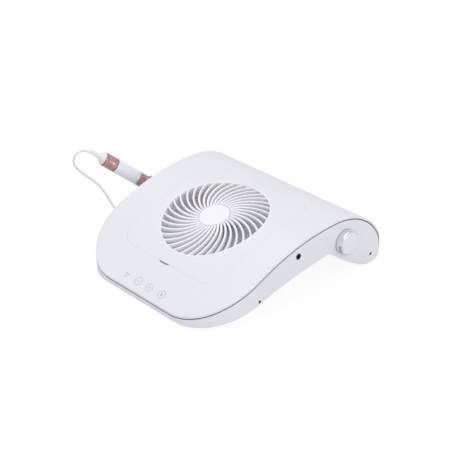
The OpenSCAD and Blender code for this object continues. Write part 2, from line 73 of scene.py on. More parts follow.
class Cut(Enum):
    """How a tool solid changes a piece."""

    AWAY = "DIFFERENCE"
    COMMON = "INTERSECT"


class Value:
    """A shader value whose Python operators add Math nodes to its tree."""

    def __init__(self, tree: bpy.types.NodeTree, socket: bpy.types.NodeSocket) -> None:
        """Wraps one output socket."""
        self.tree = tree
        self.socket = socket

    def math(self, operation: str, other: "Value | float", swap: bool = False) -> "Value":
        """Adds a Math node.

        Args:
            operation: the Math node's operation.
            other: the second operand.
            swap: whether the operands change places.

        Returns:
            The node's result.
        """
        node = self.tree.nodes.new("ShaderNodeMath")
        node.operation = operation
        mine, theirs = (1, 0) if swap else (0, 1)
        self.tree.links.new(self.socket, node.inputs[mine])
        if isinstance(other, Value):
            self.tree.links.new(other.socket, node.inputs[theirs])
        else:
            node.inputs[theirs].default_value = other
        return Value(self.tree, node.outputs[0])

    def __add__(self, other: "Value | float") -> "Value":
        """Sum."""
        return self.math("ADD", other)

    def __sub__(self, other: "Value | float") -> "Value":
        """Difference."""
        return self.math("SUBTRACT", other)

    def __rsub__(self, other: float) -> "Value":
        """Reflected difference."""
        return self.math("SUBTRACT", other, swap=True)

    def __mul__(self, other: "Value | float") -> "Value":
        """Product."""
        return self.math("MULTIPLY", other)

    def __gt__(self, other: float) -> "Value":
        """One where this value is greater."""
        return self.math("GREATER_THAN", other)

    __radd__ = __add__
    __rmul__ = __mul__

    def swing(self, span: float) -> "Value":
        """A field of 0 to 1, moved to lie about zero and stretched to a span."""
        return (self - 0.5) * span


class Shader:
    """One node material while it is being wired."""

    def __init__(self, name: str) -> None:
        """Starts a Principled material.

        Args:
            name: the material's name.
        """
        self.material = bpy.data.materials.new(name)
        self.material.use_nodes = True
        self.tree = self.material.node_tree
        self.surface = self.tree.nodes["Principled BSDF"]

    def node(self, kind: str, settings: dict | None = None, inputs: dict | None = None) -> bpy.types.Node:
        """Adds any node.

        Args:
            kind: the node's type name.
            settings: attributes of the node, which are set first.
            inputs: values or links of its sockets.

        Returns:
            The new node.
        """
        node = self.tree.nodes.new(kind)
        for key, value in (settings or {}).items():
            setattr(node, key, value)
        for key, value in (inputs or {}).items():
            self.feed(node.inputs[key], value)
        return node

    def value(self, kind: str, settings: dict, inputs: dict, output: int | str = 0) -> Value:
        """Adds any node, as above, and wraps one of its outputs."""
        return Value(self.tree, self.node(kind, settings, inputs).outputs[output])

    def feed(self, socket: bpy.types.NodeSocket, value: object) -> None:
        """Links or sets one input socket.

        Args:
            socket: the input socket.
            value: a shader value or an output socket to link, or a plain setting.
        """
        if isinstance(value, Value):
            self.tree.links.new(value.socket, socket)
        elif isinstance(value, bpy.types.NodeSocket):
            self.tree.links.new(value, socket)
        elif isinstance(value, tuple) and len(value) == 3 and socket.type == "RGBA":
            socket.default_value = (*value, 1.0)
        else:
            socket.default_value = value

    def set(self, **inputs: object) -> None:
        """Sets the Principled shader's inputs, with underscores for spaces."""
        for key, value in inputs.items():
            self.feed(self.surface.inputs[key.replace("_", " ")], value)

    def place(self) -> bpy.types.NodeSocket:
        """The object coordinates of the surface."""
        return self.node("ShaderNodeTexCoord").outputs["Object"]

    def noise(self, scale: float, detail: float) -> Value:
        """A noise field over the object, with so many spots in a metre."""
        inputs = {"Vector": self.place(), "Scale": scale, "Detail": detail}
        return self.value("ShaderNodeTexNoise", {}, inputs)

    def blend(self, factor: object, first: object, second: object) -> bpy.types.NodeSocket:
        """Mixes two colours.

        Args:
            factor: the share of the second colour.
            first: the colour at a factor of 0.
            second: the colour at a factor of 1.

        Returns:
            The mixed colour.
        """
        node = self.node("ShaderNodeMix", {"data_type": "RGBA"})
        self.feed(node.inputs[0], factor)
        self.feed(node.inputs[6], first)
        self.feed(node.inputs[7], second)
        return node.outputs[2]

    def bump(self, height: Value, depth: float) -> None:
        """Gives the surface a relief of that depth in metres."""
        inputs = {"Height": height, "Distance": depth, "Strength": 1.0}
        self.set(Normal=self.node("ShaderNodeBump", {}, inputs).outputs["Normal"])


def darker(colour: tuple, share: float) -> tuple:
    """A colour with its channels cut by a share."""
    return tuple(c * (1 - share) for c in colour)


@dataclass(frozen=True)
class Plastic:
    """Moulded plastic with a fine spark-eroded grain, in millimetres deep, and faint flow marks."""

    name: str
    colour: tuple
    rough: float = 0.38
    coat: float = 0.0
    coat_rough: float = 0.08
    flow_scale: float = 14
    flow_rough: float = 0.10
    flow_tone: float = 0.025
    grain: float = 0.03
    grain_scale: float = 2600
    grain_rough: float = 0.06

    def build(self) -> bpy.types.Material:
        """Wires the material.

        Returns:
            The material.
        """
        s = Shader(self.name)
        flow = s.noise(self.flow_scale, 3)
        grain = s.noise(self.grain_scale, 1)
        s.set(Base_Color=s.blend(flow, self.colour, darker(self.colour, self.flow_tone)))
        s.set(Roughness=flow.swing(self.flow_rough) + grain.swing(self.grain_rough) + self.rough)
        s.set(Coat_Weight=self.coat)
        s.set(Coat_Roughness=self.coat_rough)
        s.bump(grain, self.grain * MM)
        return s.material


@dataclass(frozen=True)
class Turned:
    """Metal turned on a lathe, with fine rings about an axis and a few handling marks."""

    name: str
    colour: tuple
    rough: float = 0.25
    axis: tuple = NOSE
    rings: float = 0.012
    ring_scale: float = 5200.0
    ring_rough: float = 0.16
    mark_scale: float = 240
    mark_rough: float = 0.10
    mark_tone: float = 0.10

    def build(self) -> bpy.types.Material:
        """Wires the material.

        Returns:
            The material.
        """
        s = Shader(self.name)
        inputs = {0: s.place(), 1: self.axis}
        along = s.value("ShaderNodeVectorMath", {"operation": "DOT_PRODUCT"}, inputs, "Value")
        inputs = {"W": along * self.ring_scale, "Scale": 1.0, "Detail": 2.0}
        rings = s.value("ShaderNodeTexNoise", {"noise_dimensions": "1D"}, inputs)
        marks = s.noise(self.mark_scale, 4)
        s.set(Base_Color=s.blend(marks, self.colour, darker(self.colour, self.mark_tone)))
        s.set(Metallic=1.0)
        s.set(Roughness=rings.swing(self.ring_rough) + marks.swing(self.mark_rough) + self.rough)
        s.bump(rings, self.rings * MM)
        return s.material


@dataclass(frozen=True)
class Rubber:
    """Soft rubber with a dull bloom and fine pores."""

    name: str
    colour: tuple
    rough: float = 0.62
    bloom_scale: float = 60
    bloom_rough: float = 0.16
    bloom_tone: float = 0.08
    pore: float = 0.02
    pore_scale: float = 3200

    def build(self) -> bpy.types.Material:
        """Wires the material.

        Returns:
            The material.
        """
        s = Shader(self.name)
        bloom = s.noise(self.bloom_scale, 4)
        pores = s.noise(self.pore_scale, 1)
        s.set(Base_Color=s.blend(bloom, self.colour, darker(self.colour, self.bloom_tone)))
        s.set(Roughness=bloom.swing(self.bloom_rough) + self.rough)
        s.bump(pores, self.pore * MM)
        return s.material


@dataclass(frozen=True)
class Fleece:
    """Pleated filter fleece, grey with painted shade in the pleats' valleys and a warm dusting of spent
    powder towards the back left.
    """

    name: str
    colour: tuple
    dust: tuple
    rough: float = 0.85
    pleat: float = 4.2
    waver: float = 0.4
    fold: float = 0.9
    # How much darker the pleats' valleys are painted, as painted shade.
    pleat_shade: float = 0.14
    fibre_scale: float = 1800
    fibre_share: float = 0.4
    fibre_rough: float = 0.1
    fibre_relief: float = 0.1
    fibre_tone: float = 0.3
    cloud_scale: float = 26
    cloud_edge: float = 0.45
    cloud_share: Flat = (0.5, 0.4)
    rise_x: float = -16.8
    rise_y: float = 22.4
    middle: float = 0.15

    def dusted(self, s: Shader, where: bpy.types.NodeSocket) -> bpy.types.NodeSocket:
        """Works out how much dust lies on the fleece.

        Args:
            s: the material that is being wired.
            where: the object coordinates.

        Returns:
            The dust's share of the colour, which grows towards the back left in clouds.
        """
        cloud = s.noise(self.cloud_scale, 3)
        split = s.node("ShaderNodeSeparateXYZ", {}, {"Vector": where})
        x, y = (Value(s.tree, split.outputs[axis]) for axis in ("X", "Y"))
        back = x * self.rise_x + y * self.rise_y + self.middle
        thin, more = self.cloud_share
        share = ((cloud > self.cloud_edge) * more + thin) * back
        return s.node("ShaderNodeClamp", {}, {"Value": share}).outputs[0]

    def build(self) -> bpy.types.Material:
        """Wires the material.

        Returns:
            The material.
        """
        s = Shader(self.name)
        where = s.place()
        bands = 1 / (self.pleat * MM) / (2 * math.pi) * 2
        inputs = {"Vector": where, "Scale": bands, "Distortion": self.waver}
        folds = s.value("ShaderNodeTexWave", {"bands_direction": "X"}, inputs, "Fac")
        fibre = s.noise(self.fibre_scale, 3)
        # Painted shade: the colour darkens towards the pleats' valleys, where the relief is low.
        tone = s.blend(folds, darker(self.colour, self.pleat_shade), self.colour)
        tone = s.blend(self.dusted(s, where), tone, self.dust)
        s.set(Base_Color=s.blend(fibre * self.fibre_share, tone, darker(self.colour, self.fibre_tone)))
        s.set(Roughness=fibre * self.fibre_rough + self.rough)
        s.bump(folds + fibre * self.fibre_relief, self.fold * MM)
        return s.material


@dataclass(frozen=True)
class Board:
    """Glass-fibre circuit board under solder mask, with faint copper runs."""

    name: str
    colour: tuple
    rough: float = 0.35
    run_scale: float = 160.0
    run_gain: float = 1.7
    run_depth: float = 0.04
    weave_scale: float = 900
    weave_rough: float = 0.1

    def build(self) -> bpy.types.Material:
        """Wires the material.

        Returns:
            The material.
        """
        s = Shader(self.name)
        runs = s.value("ShaderNodeTexBrick", {}, {"Vector": s.place(), "Scale": self.run_scale}, "Fac")
        weave = s.noise(self.weave_scale, 2)
        copper = tuple(min(1, c * self.run_gain) for c in self.colour)
        s.set(Base_Color=s.blend(runs, self.colour, copper))
        s.set(Roughness=weave * self.weave_rough + self.rough)
        s.bump(runs, self.run_depth * MM)
        return s.material


@dataclass(frozen=True)
class Print:
    """Screen print on the lip."""

    name: str
    colour: tuple
    rough: float = 0.45
    screen_scale: float = 4000
    screen_rough: float = 0.1
    screen_tone: float = 0.06

    def build(self) -> bpy.types.Material:
        """Wires the material.

        Returns:
            The material.
        """
        s = Shader(self.name)
        screen = s.noise(self.screen_scale, 1)
        s.set(Base_Color=s.blend(screen, self.colour, darker(self.colour, self.screen_tone)))
        s.set(Roughness=screen * self.screen_rough + self.rough)
        return s.material


class Finish(Enum):
    """The finishes of the object, one material each."""

    SHELL = Plastic("satin_white", (0.81, 0.813, 0.862), rough=0.36, coat=0.1)
    BRIGHT = Plastic("bright_white", (0.90, 0.90, 0.935), rough=0.4)
    BARREL = Plastic("cool_white", (0.80, 0.825, 0.90), rough=0.2, coat=0.2)
    MOULDING = Plastic("pale_moulding", (0.62, 0.62, 0.67), rough=0.5)
    ROSE = Turned("rose_anodised", (0.60, 0.35, 0.343), rough=0.2)
    STEEL = Turned("turned_steel", (0.66, 0.66, 0.69), rough=0.3)
    CHROME = Turned("bright_ring", (0.86, 0.86, 0.89), rough=0.1, rings=0.002)
    PLATE = Turned("bright_plate", (0.84, 0.84, 0.88), rough=0.08, rings=0.001, axis=(1.0, 0.0, 0.0))
    # Painted shade: dark bands that darken the rose sleeve's ends.
    DARK = Turned("painted_sleeve_shade", (0.07, 0.06, 0.065), rough=0.3)
    FEET = Rubber("soft_rubber", (0.42, 0.42, 0.46))
    # Painted shade: a dark strip that darkens the gap between the shells.
    SEAL = Rubber("painted_gap_shade", (0.13, 0.13, 0.15))
    JACKET = Rubber("cord_sheath", (0.86, 0.86, 0.885), rough=0.5)
    BLACK = Plastic("black_moulding", (0.016, 0.016, 0.018), rough=0.42)
    FLEECE = Fleece("pleated_fleece", (0.62, 0.62, 0.70), (0.50, 0.37, 0.29))
    BOARD = Board("green_board", (0.03, 0.16, 0.08))
    PRINT = Print("key_print", (0.58, 0.58, 0.64))
    INK = Print("power_print", (0.33, 0.33, 0.38))

    @functools.cache
    def material(self) -> bpy.types.Material:
        """The finish's material, wired on first use."""
        return self.value.build()


def dress(piece: bpy.types.Object, finish: Finish) -> None:
    """Puts one finish on a piece or CAD node."""
    piece.data.materials.clear()
    piece.data.materials.append(finish.material())


def mount(piece: bpy.types.Object, body: str, slot: str, *nodes: str) -> None:
    """Rides a finished piece on a body in place of CAD nodes.

    Args:
        piece: the finished piece.
        body: the body that carries it.
        slot: the record's material slot; not used.
        nodes: the CAD nodes that it stands for.
    """
    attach(piece, body)
    if nodes:
        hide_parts(*nodes)
    LOG.info("%s on %s: %d faces", piece.name, body, len(piece.data.polygons))


def metres(line: Iterable[Flat]) -> list[Flat]:
    """A profile given in millimetres, in metres."""
    return [(a * MM, r * MM) for a, r in line]


class Bench:
    """Modelling steps, each made with Blender's own operators."""

    @staticmethod
    def clear() -> None:
        """Leaves edit mode with nothing selected."""
        if bpy.context.mode != "OBJECT":
            bpy.ops.object.mode_set(mode="OBJECT")
        bpy.ops.object.select_all(action="DESELECT")

    @staticmethod
    def hold(piece: bpy.types.Object) -> None:
        """Makes one piece the only selected and active object.

        Args:
            piece: the piece to hold.
        """
        Bench.clear()
        piece.select_set(True)
        bpy.context.view_layer.objects.active = piece

    @staticmethod
    def edit(piece: bpy.types.Object, action: str = "SELECT") -> None:
        """Opens one piece in edit mode.

        Args:
            piece: the piece to edit.
            action: whether its whole mesh is then selected or deselected.
        """
        Bench.hold(piece)
        bpy.ops.object.mode_set(mode="EDIT")
        bpy.ops.mesh.select_all(action=action)

    @staticmethod
    def face_out() -> None:
        """Turns all faces of the piece in edit mode outwards, and leaves edit mode."""
        bpy.ops.mesh.select_all(action="SELECT")
        bpy.ops.mesh.normals_make_consistent(inside=False)
        Bench.clear()

    @staticmethod
    def outline(name: str, points: Sequence[Vector], fill: bool = True) -> bpy.types.Object:
        """Draws a closed outline by extruding one vertex from point to point.

        Args:
            name: the new object's name.
            points: the outline's corners, in order.
            fill: whether the outline gets a face.

        Returns:
            The new object, at the origin.
        """
        Bench.clear()
        bpy.ops.mesh.primitive_plane_add(size=MM, location=points[0])
        piece = bpy.context.object
        piece.name = name
        bpy.ops.object.mode_set(mode="EDIT")
        bpy.ops.mesh.merge(type="CENTER")
        for here, there in zip(points, points[1:]):
            bpy.ops.mesh.extrude_region_move(TRANSFORM_OT_translate={"value": there - here})
        bpy.ops.mesh.select_all(action="SELECT")
        if fill:
            bpy.ops.mesh.edge_face_add()
        else:
            Bench.close_ring(piece)
        Bench.settle(piece)
        return piece

    @staticmethod
    def close_ring(piece: bpy.types.Object) -> None:
        """Joins the first and last vertex of an open outline with an edge.

        Args:
            piece: the outline, in edit mode.
        """
        bpy.ops.mesh.select_all(action="DESELECT")
        bpy.ops.object.mode_set(mode="OBJECT")
        edges = piece.data.edges
        ends = [v for v in piece.data.vertices if sum(v.index in e.vertices for e in edges) == 1]
        for vertex in ends:
            vertex.select = True
        bpy.ops.object.mode_set(mode="EDIT")
        bpy.ops.mesh.edge_face_add()

    @staticmethod
    def settle(piece: bpy.types.Object) -> None:
        """Puts a piece's place into its mesh."""
        Bench.hold(piece)
        bpy.ops.object.transform_apply(location=True, rotation=True, scale=True)

    @staticmethod
    def sweep(piece: bpy.types.Object, way: Vector) -> bpy.types.Object:
        """Extrudes a filled outline into a closed solid.

        Args:
            piece: the filled outline.
            way: the vector from the outline to the solid's other end.

        Returns:
            The same object, now a solid.
        """
        Bench.edit(piece)
        bpy.ops.mesh.extrude_region_move(TRANSFORM_OT_translate={"value": way})
        Bench.face_out()
        return piece

    @staticmethod
    def lathe(name: str, profile: Sequence[Flat], centre: Vector, axis: Vector,
              steps: int = 64) -> bpy.types.Object:
        """Turns a closed profile about an axis.

        Args:
            name: the new object's name.
            profile: pairs of place along the axis and radius.
            centre: the axis's zero point.
            axis: the axis's direction.
            steps: the steps round the axis.

        Returns:
            The turned solid.
        """
        out = axis.orthogonal().normalized()
        piece = Bench.outline(name, [centre + axis * a + out * r for a, r in profile], fill=False)
        Bench.edit(piece)
        bpy.ops.mesh.spin(steps=steps, angle=2 * math.pi, center=centre, axis=axis)
        bpy.ops.mesh.select_all(action="SELECT")
        bpy.ops.mesh.remove_doubles(threshold=WELD)
        Bench.face_out()
        return piece

    @staticmethod
    def repeat(piece: bpy.types.Object, count: int, centre: Vector, axis: Vector) -> None:
        """Copies a piece's mesh evenly round an axis.

        Args:
            piece: the piece, which keeps all the copies.
            count: the number of copies, with the first.
            centre: a point of the axis.
            axis: the axis's direction.
        """
        Bench.edit(piece)
        angle = 2 * math.pi * (count - 1) / count
        bpy.ops.mesh.spin(steps=count - 1, dupli=True, angle=angle, center=centre, axis=axis)
        Bench.face_out()

    @staticmethod
    def modify(piece: bpy.types.Object, kind: str, **settings: object) -> None:
        """Adds one modifier and applies it.

        Args:
            piece: the piece that is changed.
            kind: the modifier's type name.
            settings: the modifier's attributes.
        """
        Bench.hold(piece)
        modifier = piece.modifiers.new(kind.title(), kind)
        for key, value in settings.items():
            setattr(modifier, key, value)
        bpy.ops.object.modifier_apply(modifier=modifier.name)

    @staticmethod
    def cut(piece: bpy.types.Object, tool: bpy.types.Object, how: Cut = Cut.AWAY, keep: bool = False) -> None:
        """Changes a piece by a tool solid, which is then thrown away.

        Args:
            piece: the solid that is changed.
            tool: the solid that changes it.
            how: the change.
            keep: whether the tool is used again.
        """
        Bench.modify(piece, "BOOLEAN", object=tool, operation=how.value, solver="EXACT")
        if not keep:
            Bench.drop(tool)

    @staticmethod
    def drop(piece: bpy.types.Object) -> None:
        """Deletes a tool solid."""
        Bench.hold(piece)
        bpy.ops.object.delete()

    @staticmethod
    def join(pieces: Sequence[bpy.types.Object]) -> bpy.types.Object:
        """Joins objects into the first of them.

        Args:
            pieces: the objects to join.

        Returns:
            The first object, which holds all the meshes.
        """
        Bench.hold(pieces[0])
        for other in pieces[1:]:
            other.select_set(True)
        bpy.ops.object.join()
        return pieces[0]

    @staticmethod
    def soften(piece: bpy.types.Object, width: float, steps: int = 3, angle: float = 32.0) -> None:
        """Rounds the sharp edges and smooths the shading.

        Args:
            piece: the solid.
            width: the rounding's width, in millimetres.
            steps: the rounding's segments.
            angle: edges sharper than this many degrees are rounded.
        """
        Bench.edit(piece)
        bpy.ops.mesh.remove_doubles(threshold=MELT)
        bpy.ops.mesh.dissolve_degenerate(threshold=MELT)
        Bench.clear()
        Bench.modify(piece, "BEVEL", width=width * MM, segments=steps, limit_method="ANGLE",
                     angle_limit=math.radians(angle), use_clamp_overlap=True, harden_normals=False)
        Bench.smooth(piece)

    @staticmethod
    def even(piece: bpy.types.Object) -> None:
        """Keeps the shading of wide faces from bending towards their rounded edges."""
        Bench.modify(piece, "WEIGHTED_NORMAL", keep_sharp=True, weight=90)

    @staticmethod
    def smooth(piece: bpy.types.Object, angle: float = 35.0) -> None:
        """Smooths the shading.

        Args:
            piece: the piece.
            angle: edges sharper than this many degrees stay sharp.
        """
        Bench.hold(piece)
        bpy.ops.object.shade_smooth_by_angle(angle=math.radians(angle))
        Bench.clear()


def cubic(c: Sequence[Flat], t: float) -> Vector:
    """A point of a cubic curve."""
    w = ((1 - t) ** 3, 3 * (1 - t) ** 2 * t, 3 * (1 - t) * t * t, t**3)
    return Vector((sum(a * p[0] for a, p in zip(w, c)), sum(a * p[1] for a, p in zip(w, c))))


def inward(c: Sequence[Flat], t: float) -> Vector:
    """Finds the normal of a cubic curve towards the inside of the slab.

    Args:
        c: the curve's ends and handles.
        t: the place along the curve, from 0 to 1.

    Returns:
        The unit normal.
    """
    w = ((1 - t) ** 2, 2 * (1 - t) * t, t * t)
    step = [(b[0] - a[0], b[1] - a[1]) for a, b in zip(c, c[1:])]
    way = Vector((sum(k * s[0] for k, s in zip(w, step)), sum(k * s[1] for k, s in zip(w, step))))
    return Vector((way.y, -way.x)).normalized()


@dataclass
class Wave:
    """The slab's side view and plan, in millimetres from the middle of its front lip.

    A pull is how far a curve's handles lie from the point that it is named for.
    """

    width: float = 280
    length: float = 311
    lip: float = 13.5
    lip_pull: Flat = (76, 49.3)
    crest: Flat = (222, 90.5)
    crest_pull: Flat = (83, 49.5)
    back: float = 23
    back_pull: Flat = (30, 12.6)
    sole: Flat = (285, 293)
    sole_pull: float = 14
    pad: float = 1.6
    arch: Flat = (209, 47.5)
    arch_pull: Flat = (19, 17)
    belly_handles: tuple = ((95, 36.7), (55.4, 12.9))
    toe: Flat = (3, 1.3)
    front_r: float = 79.5
    rear_r: float = 5
    corner_steps: int = 28
    top_steps: int = 40
    under_steps: tuple = (20, 24, 32)
    halvings: int = 40
    over: float = 6
    beside: float = 20
    below: float = 30
    through: float = 160
    low: Vector = field(default_factory=lambda: Vector(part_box("top_shell")[0]))
    high: Vector = field(default_factory=lambda: Vector(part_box("top_shell")[1]))

    def __post_init__(self) -> None:
        """Works out the curves from the driving sizes."""
        y, z = self.crest
        ahead, behind = self.crest_pull
        above, under = self.back_pull
        front, rear = self.sole
        lip_y, lip_z = self.lip_pull
        arch_y, arch_z = self.arch_pull
        self.ramp = ((0, self.lip), (lip_y, self.lip + lip_z), (y - ahead, z), (y, z))
        self.roll = ((y, z), (y + behind, z), (self.length, self.back + above), (self.length, self.back))
        self.heel = ((self.length, self.back), (self.length, self.back - under),
                     (rear + self.sole_pull, self.pad), (rear, self.pad))
        self.instep = ((front, self.pad), (front - self.sole_pull, self.pad),
                       (self.arch[0] + arch_y, self.arch[1] - arch_z), self.arch)
        self.belly = (self.arch, *self.belly_handles, self.toe)

    def at(self, x: float, y: float, z: float) -> Vector:
        """A place in the frame, in metres."""
        return Vector(((self.low.x + self.high.x) / 2 + x * MM, self.low.y + y * MM, z * MM))

    def run(self, curve: Sequence[Flat], depth: float, steps: int, last: float = 1.0) -> list[Vector]:
        """Points along a curve, set in by a depth, up to a last share of it."""
        places = [last * i / steps for i in range(steps + 1)]
        return [cubic(curve, t) + depth * inward(curve, t) for t in places]

    def top(self, depth: float) -> list[Vector]:
        """Follows the top surface from ahead of the lip to the back.

        Args:
            depth: how far below the surface the line runs.

        Returns:
            The line's points.
        """
        points = self.run(self.ramp, depth, self.top_steps) + self.run(self.roll, depth, self.top_steps)[1:]
        way = points[1] - points[0]
        lead = points[0] + way * ((-self.over - points[0].x) / way.x)
        return [lead, *points]

    def under(self, depth: float, last: float = 1.0) -> list[Vector]:
        """Follows the underside from the back to the toe.

        Args:
            depth: how far the line is set in.
            last: the share of the belly's curve where the line ends.

        Returns:
            The line's points.
        """
        heel, instep, belly = self.under_steps
        back = self.run(self.heel, depth, heel) + self.run(self.instep, depth, instep)
        return back + self.run(self.belly, depth, belly, last)

    def height(self, y: float) -> float:
        """Finds the top surface's height ahead of the crest.

        Args:
            y: the distance from the lip.

        Returns:
            The height.
        """
        low, high = 0.0, 1.0
        for _ in range(self.halvings):
            middle = (low + high) / 2
            if cubic(self.ramp, middle).x < y:
                low = middle
            else:
                high = middle
        return cubic(self.ramp, low).y

    def across(self, name: str, line: Sequence[Vector]) -> bpy.types.Object:
        """Sweeps a side view across the slab and past its sides.

        Args:
            name: the solid's name.
            line: the side view's closed outline.

        Returns:
            The solid.
        """
        x = -self.width / 2 - self.beside
        piece = Bench.outline(name, [self.at(x, p.x, p.y) for p in line])
        return Bench.sweep(piece, Vector(((self.width + 2 * self.beside) * MM, 0, 0)))

    def band(self, name: str, upper: float, lower: float) -> bpy.types.Object:
        """The solid between two depths below the top surface."""
        return self.across(name, self.top(upper) + self.top(lower)[::-1])

    def upright(self, name: str, box: Sequence[float], radii: Flat) -> bpy.types.Object:
        """Sweeps a rounded rectangle in plan up through the slab.

        Args:
            name: the solid's name.
            box: half width, front and rear.
            radii: the front and the rear corners' radius.

        Returns:
            The solid.
        """
        half, front, rear = box
        Bench.clear()
        bpy.ops.mesh.primitive_plane_add(size=1, location=self.at(0, (front + rear) / 2, -self.below))
        piece = bpy.context.object
        piece.name = name
        piece.scale = (2 * half * MM, (rear - front) * MM, 1)
        Bench.settle(piece)
        middle = self.at(0, (front + rear) / 2, 0).y
        for radius, is_front in zip(radii, (True, False)):
            Bench.edit(piece, "DESELECT")
            bpy.ops.object.mode_set(mode="OBJECT")
            outermost = min if is_front else max
            edge = outermost(v.co.y for v in piece.data.vertices)
            for vertex in piece.data.vertices:
                vertex.select = abs(vertex.co.y - edge) < LEVEL and (vertex.co.y < middle) == is_front
            bpy.ops.object.mode_set(mode="EDIT")
            bpy.ops.mesh.select_mode(type="VERT")
            bpy.ops.mesh.bevel(affect="VERTICES", offset=radius * MM, segments=self.corner_steps,
                               offset_type="OFFSET")
            Bench.clear()
        return Bench.sweep(piece, Vector((0, 0, self.through * MM)))

    def plan(self, name: str, inset: float) -> bpy.types.Object:
        """The slab's plan, set in from its edge."""
        box = (self.width / 2 - inset, inset, self.length - inset)
        return self.upright(name, box, (self.front_r - inset, self.rear_r - inset))


def rod(name: str, start: Vector, way: Vector, radius: float) -> bpy.types.Object:
    """A round solid from the middle of its first end, with its radius in millimetres."""
    profile = ((0, 0), (0, radius * MM), (way.length, radius * MM), (way.length, 0))
    return Bench.lathe(name, profile, start, way.normalized())


@dataclass
class Fan:
    """The fan's tilted axis through the middle of the grille."""

    wave: Wave
    y: float = 134
    tilt: float = 15.5

    def __post_init__(self) -> None:
        """Finds the axis and its centre on the top surface."""
        a = math.radians(self.tilt)
        self.axis = Vector((0, -math.sin(a), math.cos(a)))
        self.rise = Vector((0, math.cos(a), math.sin(a)))
        self.centre = self.wave.at(0, self.y, self.wave.height(self.y))

    def place(self, x: float, y: float, z: float) -> Vector:
        """A place in the fan's own frame, given in millimetres."""
        return self.centre + (Vector((x, 0, 0)) + self.rise * y + self.axis * z) * MM


@dataclass
class Vents:
    """The exhaust slots under the fan, in two fields of rows, in millimetres in the fan's own frame."""

    fan: Fan
    rows: int = 5
    pitch: float = 9
    half: float = 2
    inner: float = 22
    outer: float = 54
    below: float = 60
    tall: float = 30

    def tool(self) -> bpy.types.Object:
        """Models the slots as one tool solid.

        Returns:
            The solid.
        """
        slots = []
        for i in range(-self.rows, self.rows + 1):
            x = self.pitch * i
            reach = math.sqrt(self.outer**2 - x**2)
            left, right = x - self.half, x + self.half
            for side in (-1, 1):
                near, far = side * self.inner, side * reach
                corners = ((left, near), (right, near), (right, far), (left, far))
                slot = Bench.outline("slot", [self.fan.place(a, b, -self.below) for a, b in corners])
                slots.append(Bench.sweep(slot, self.fan.axis * self.tall * MM))
        return Bench.join(slots)


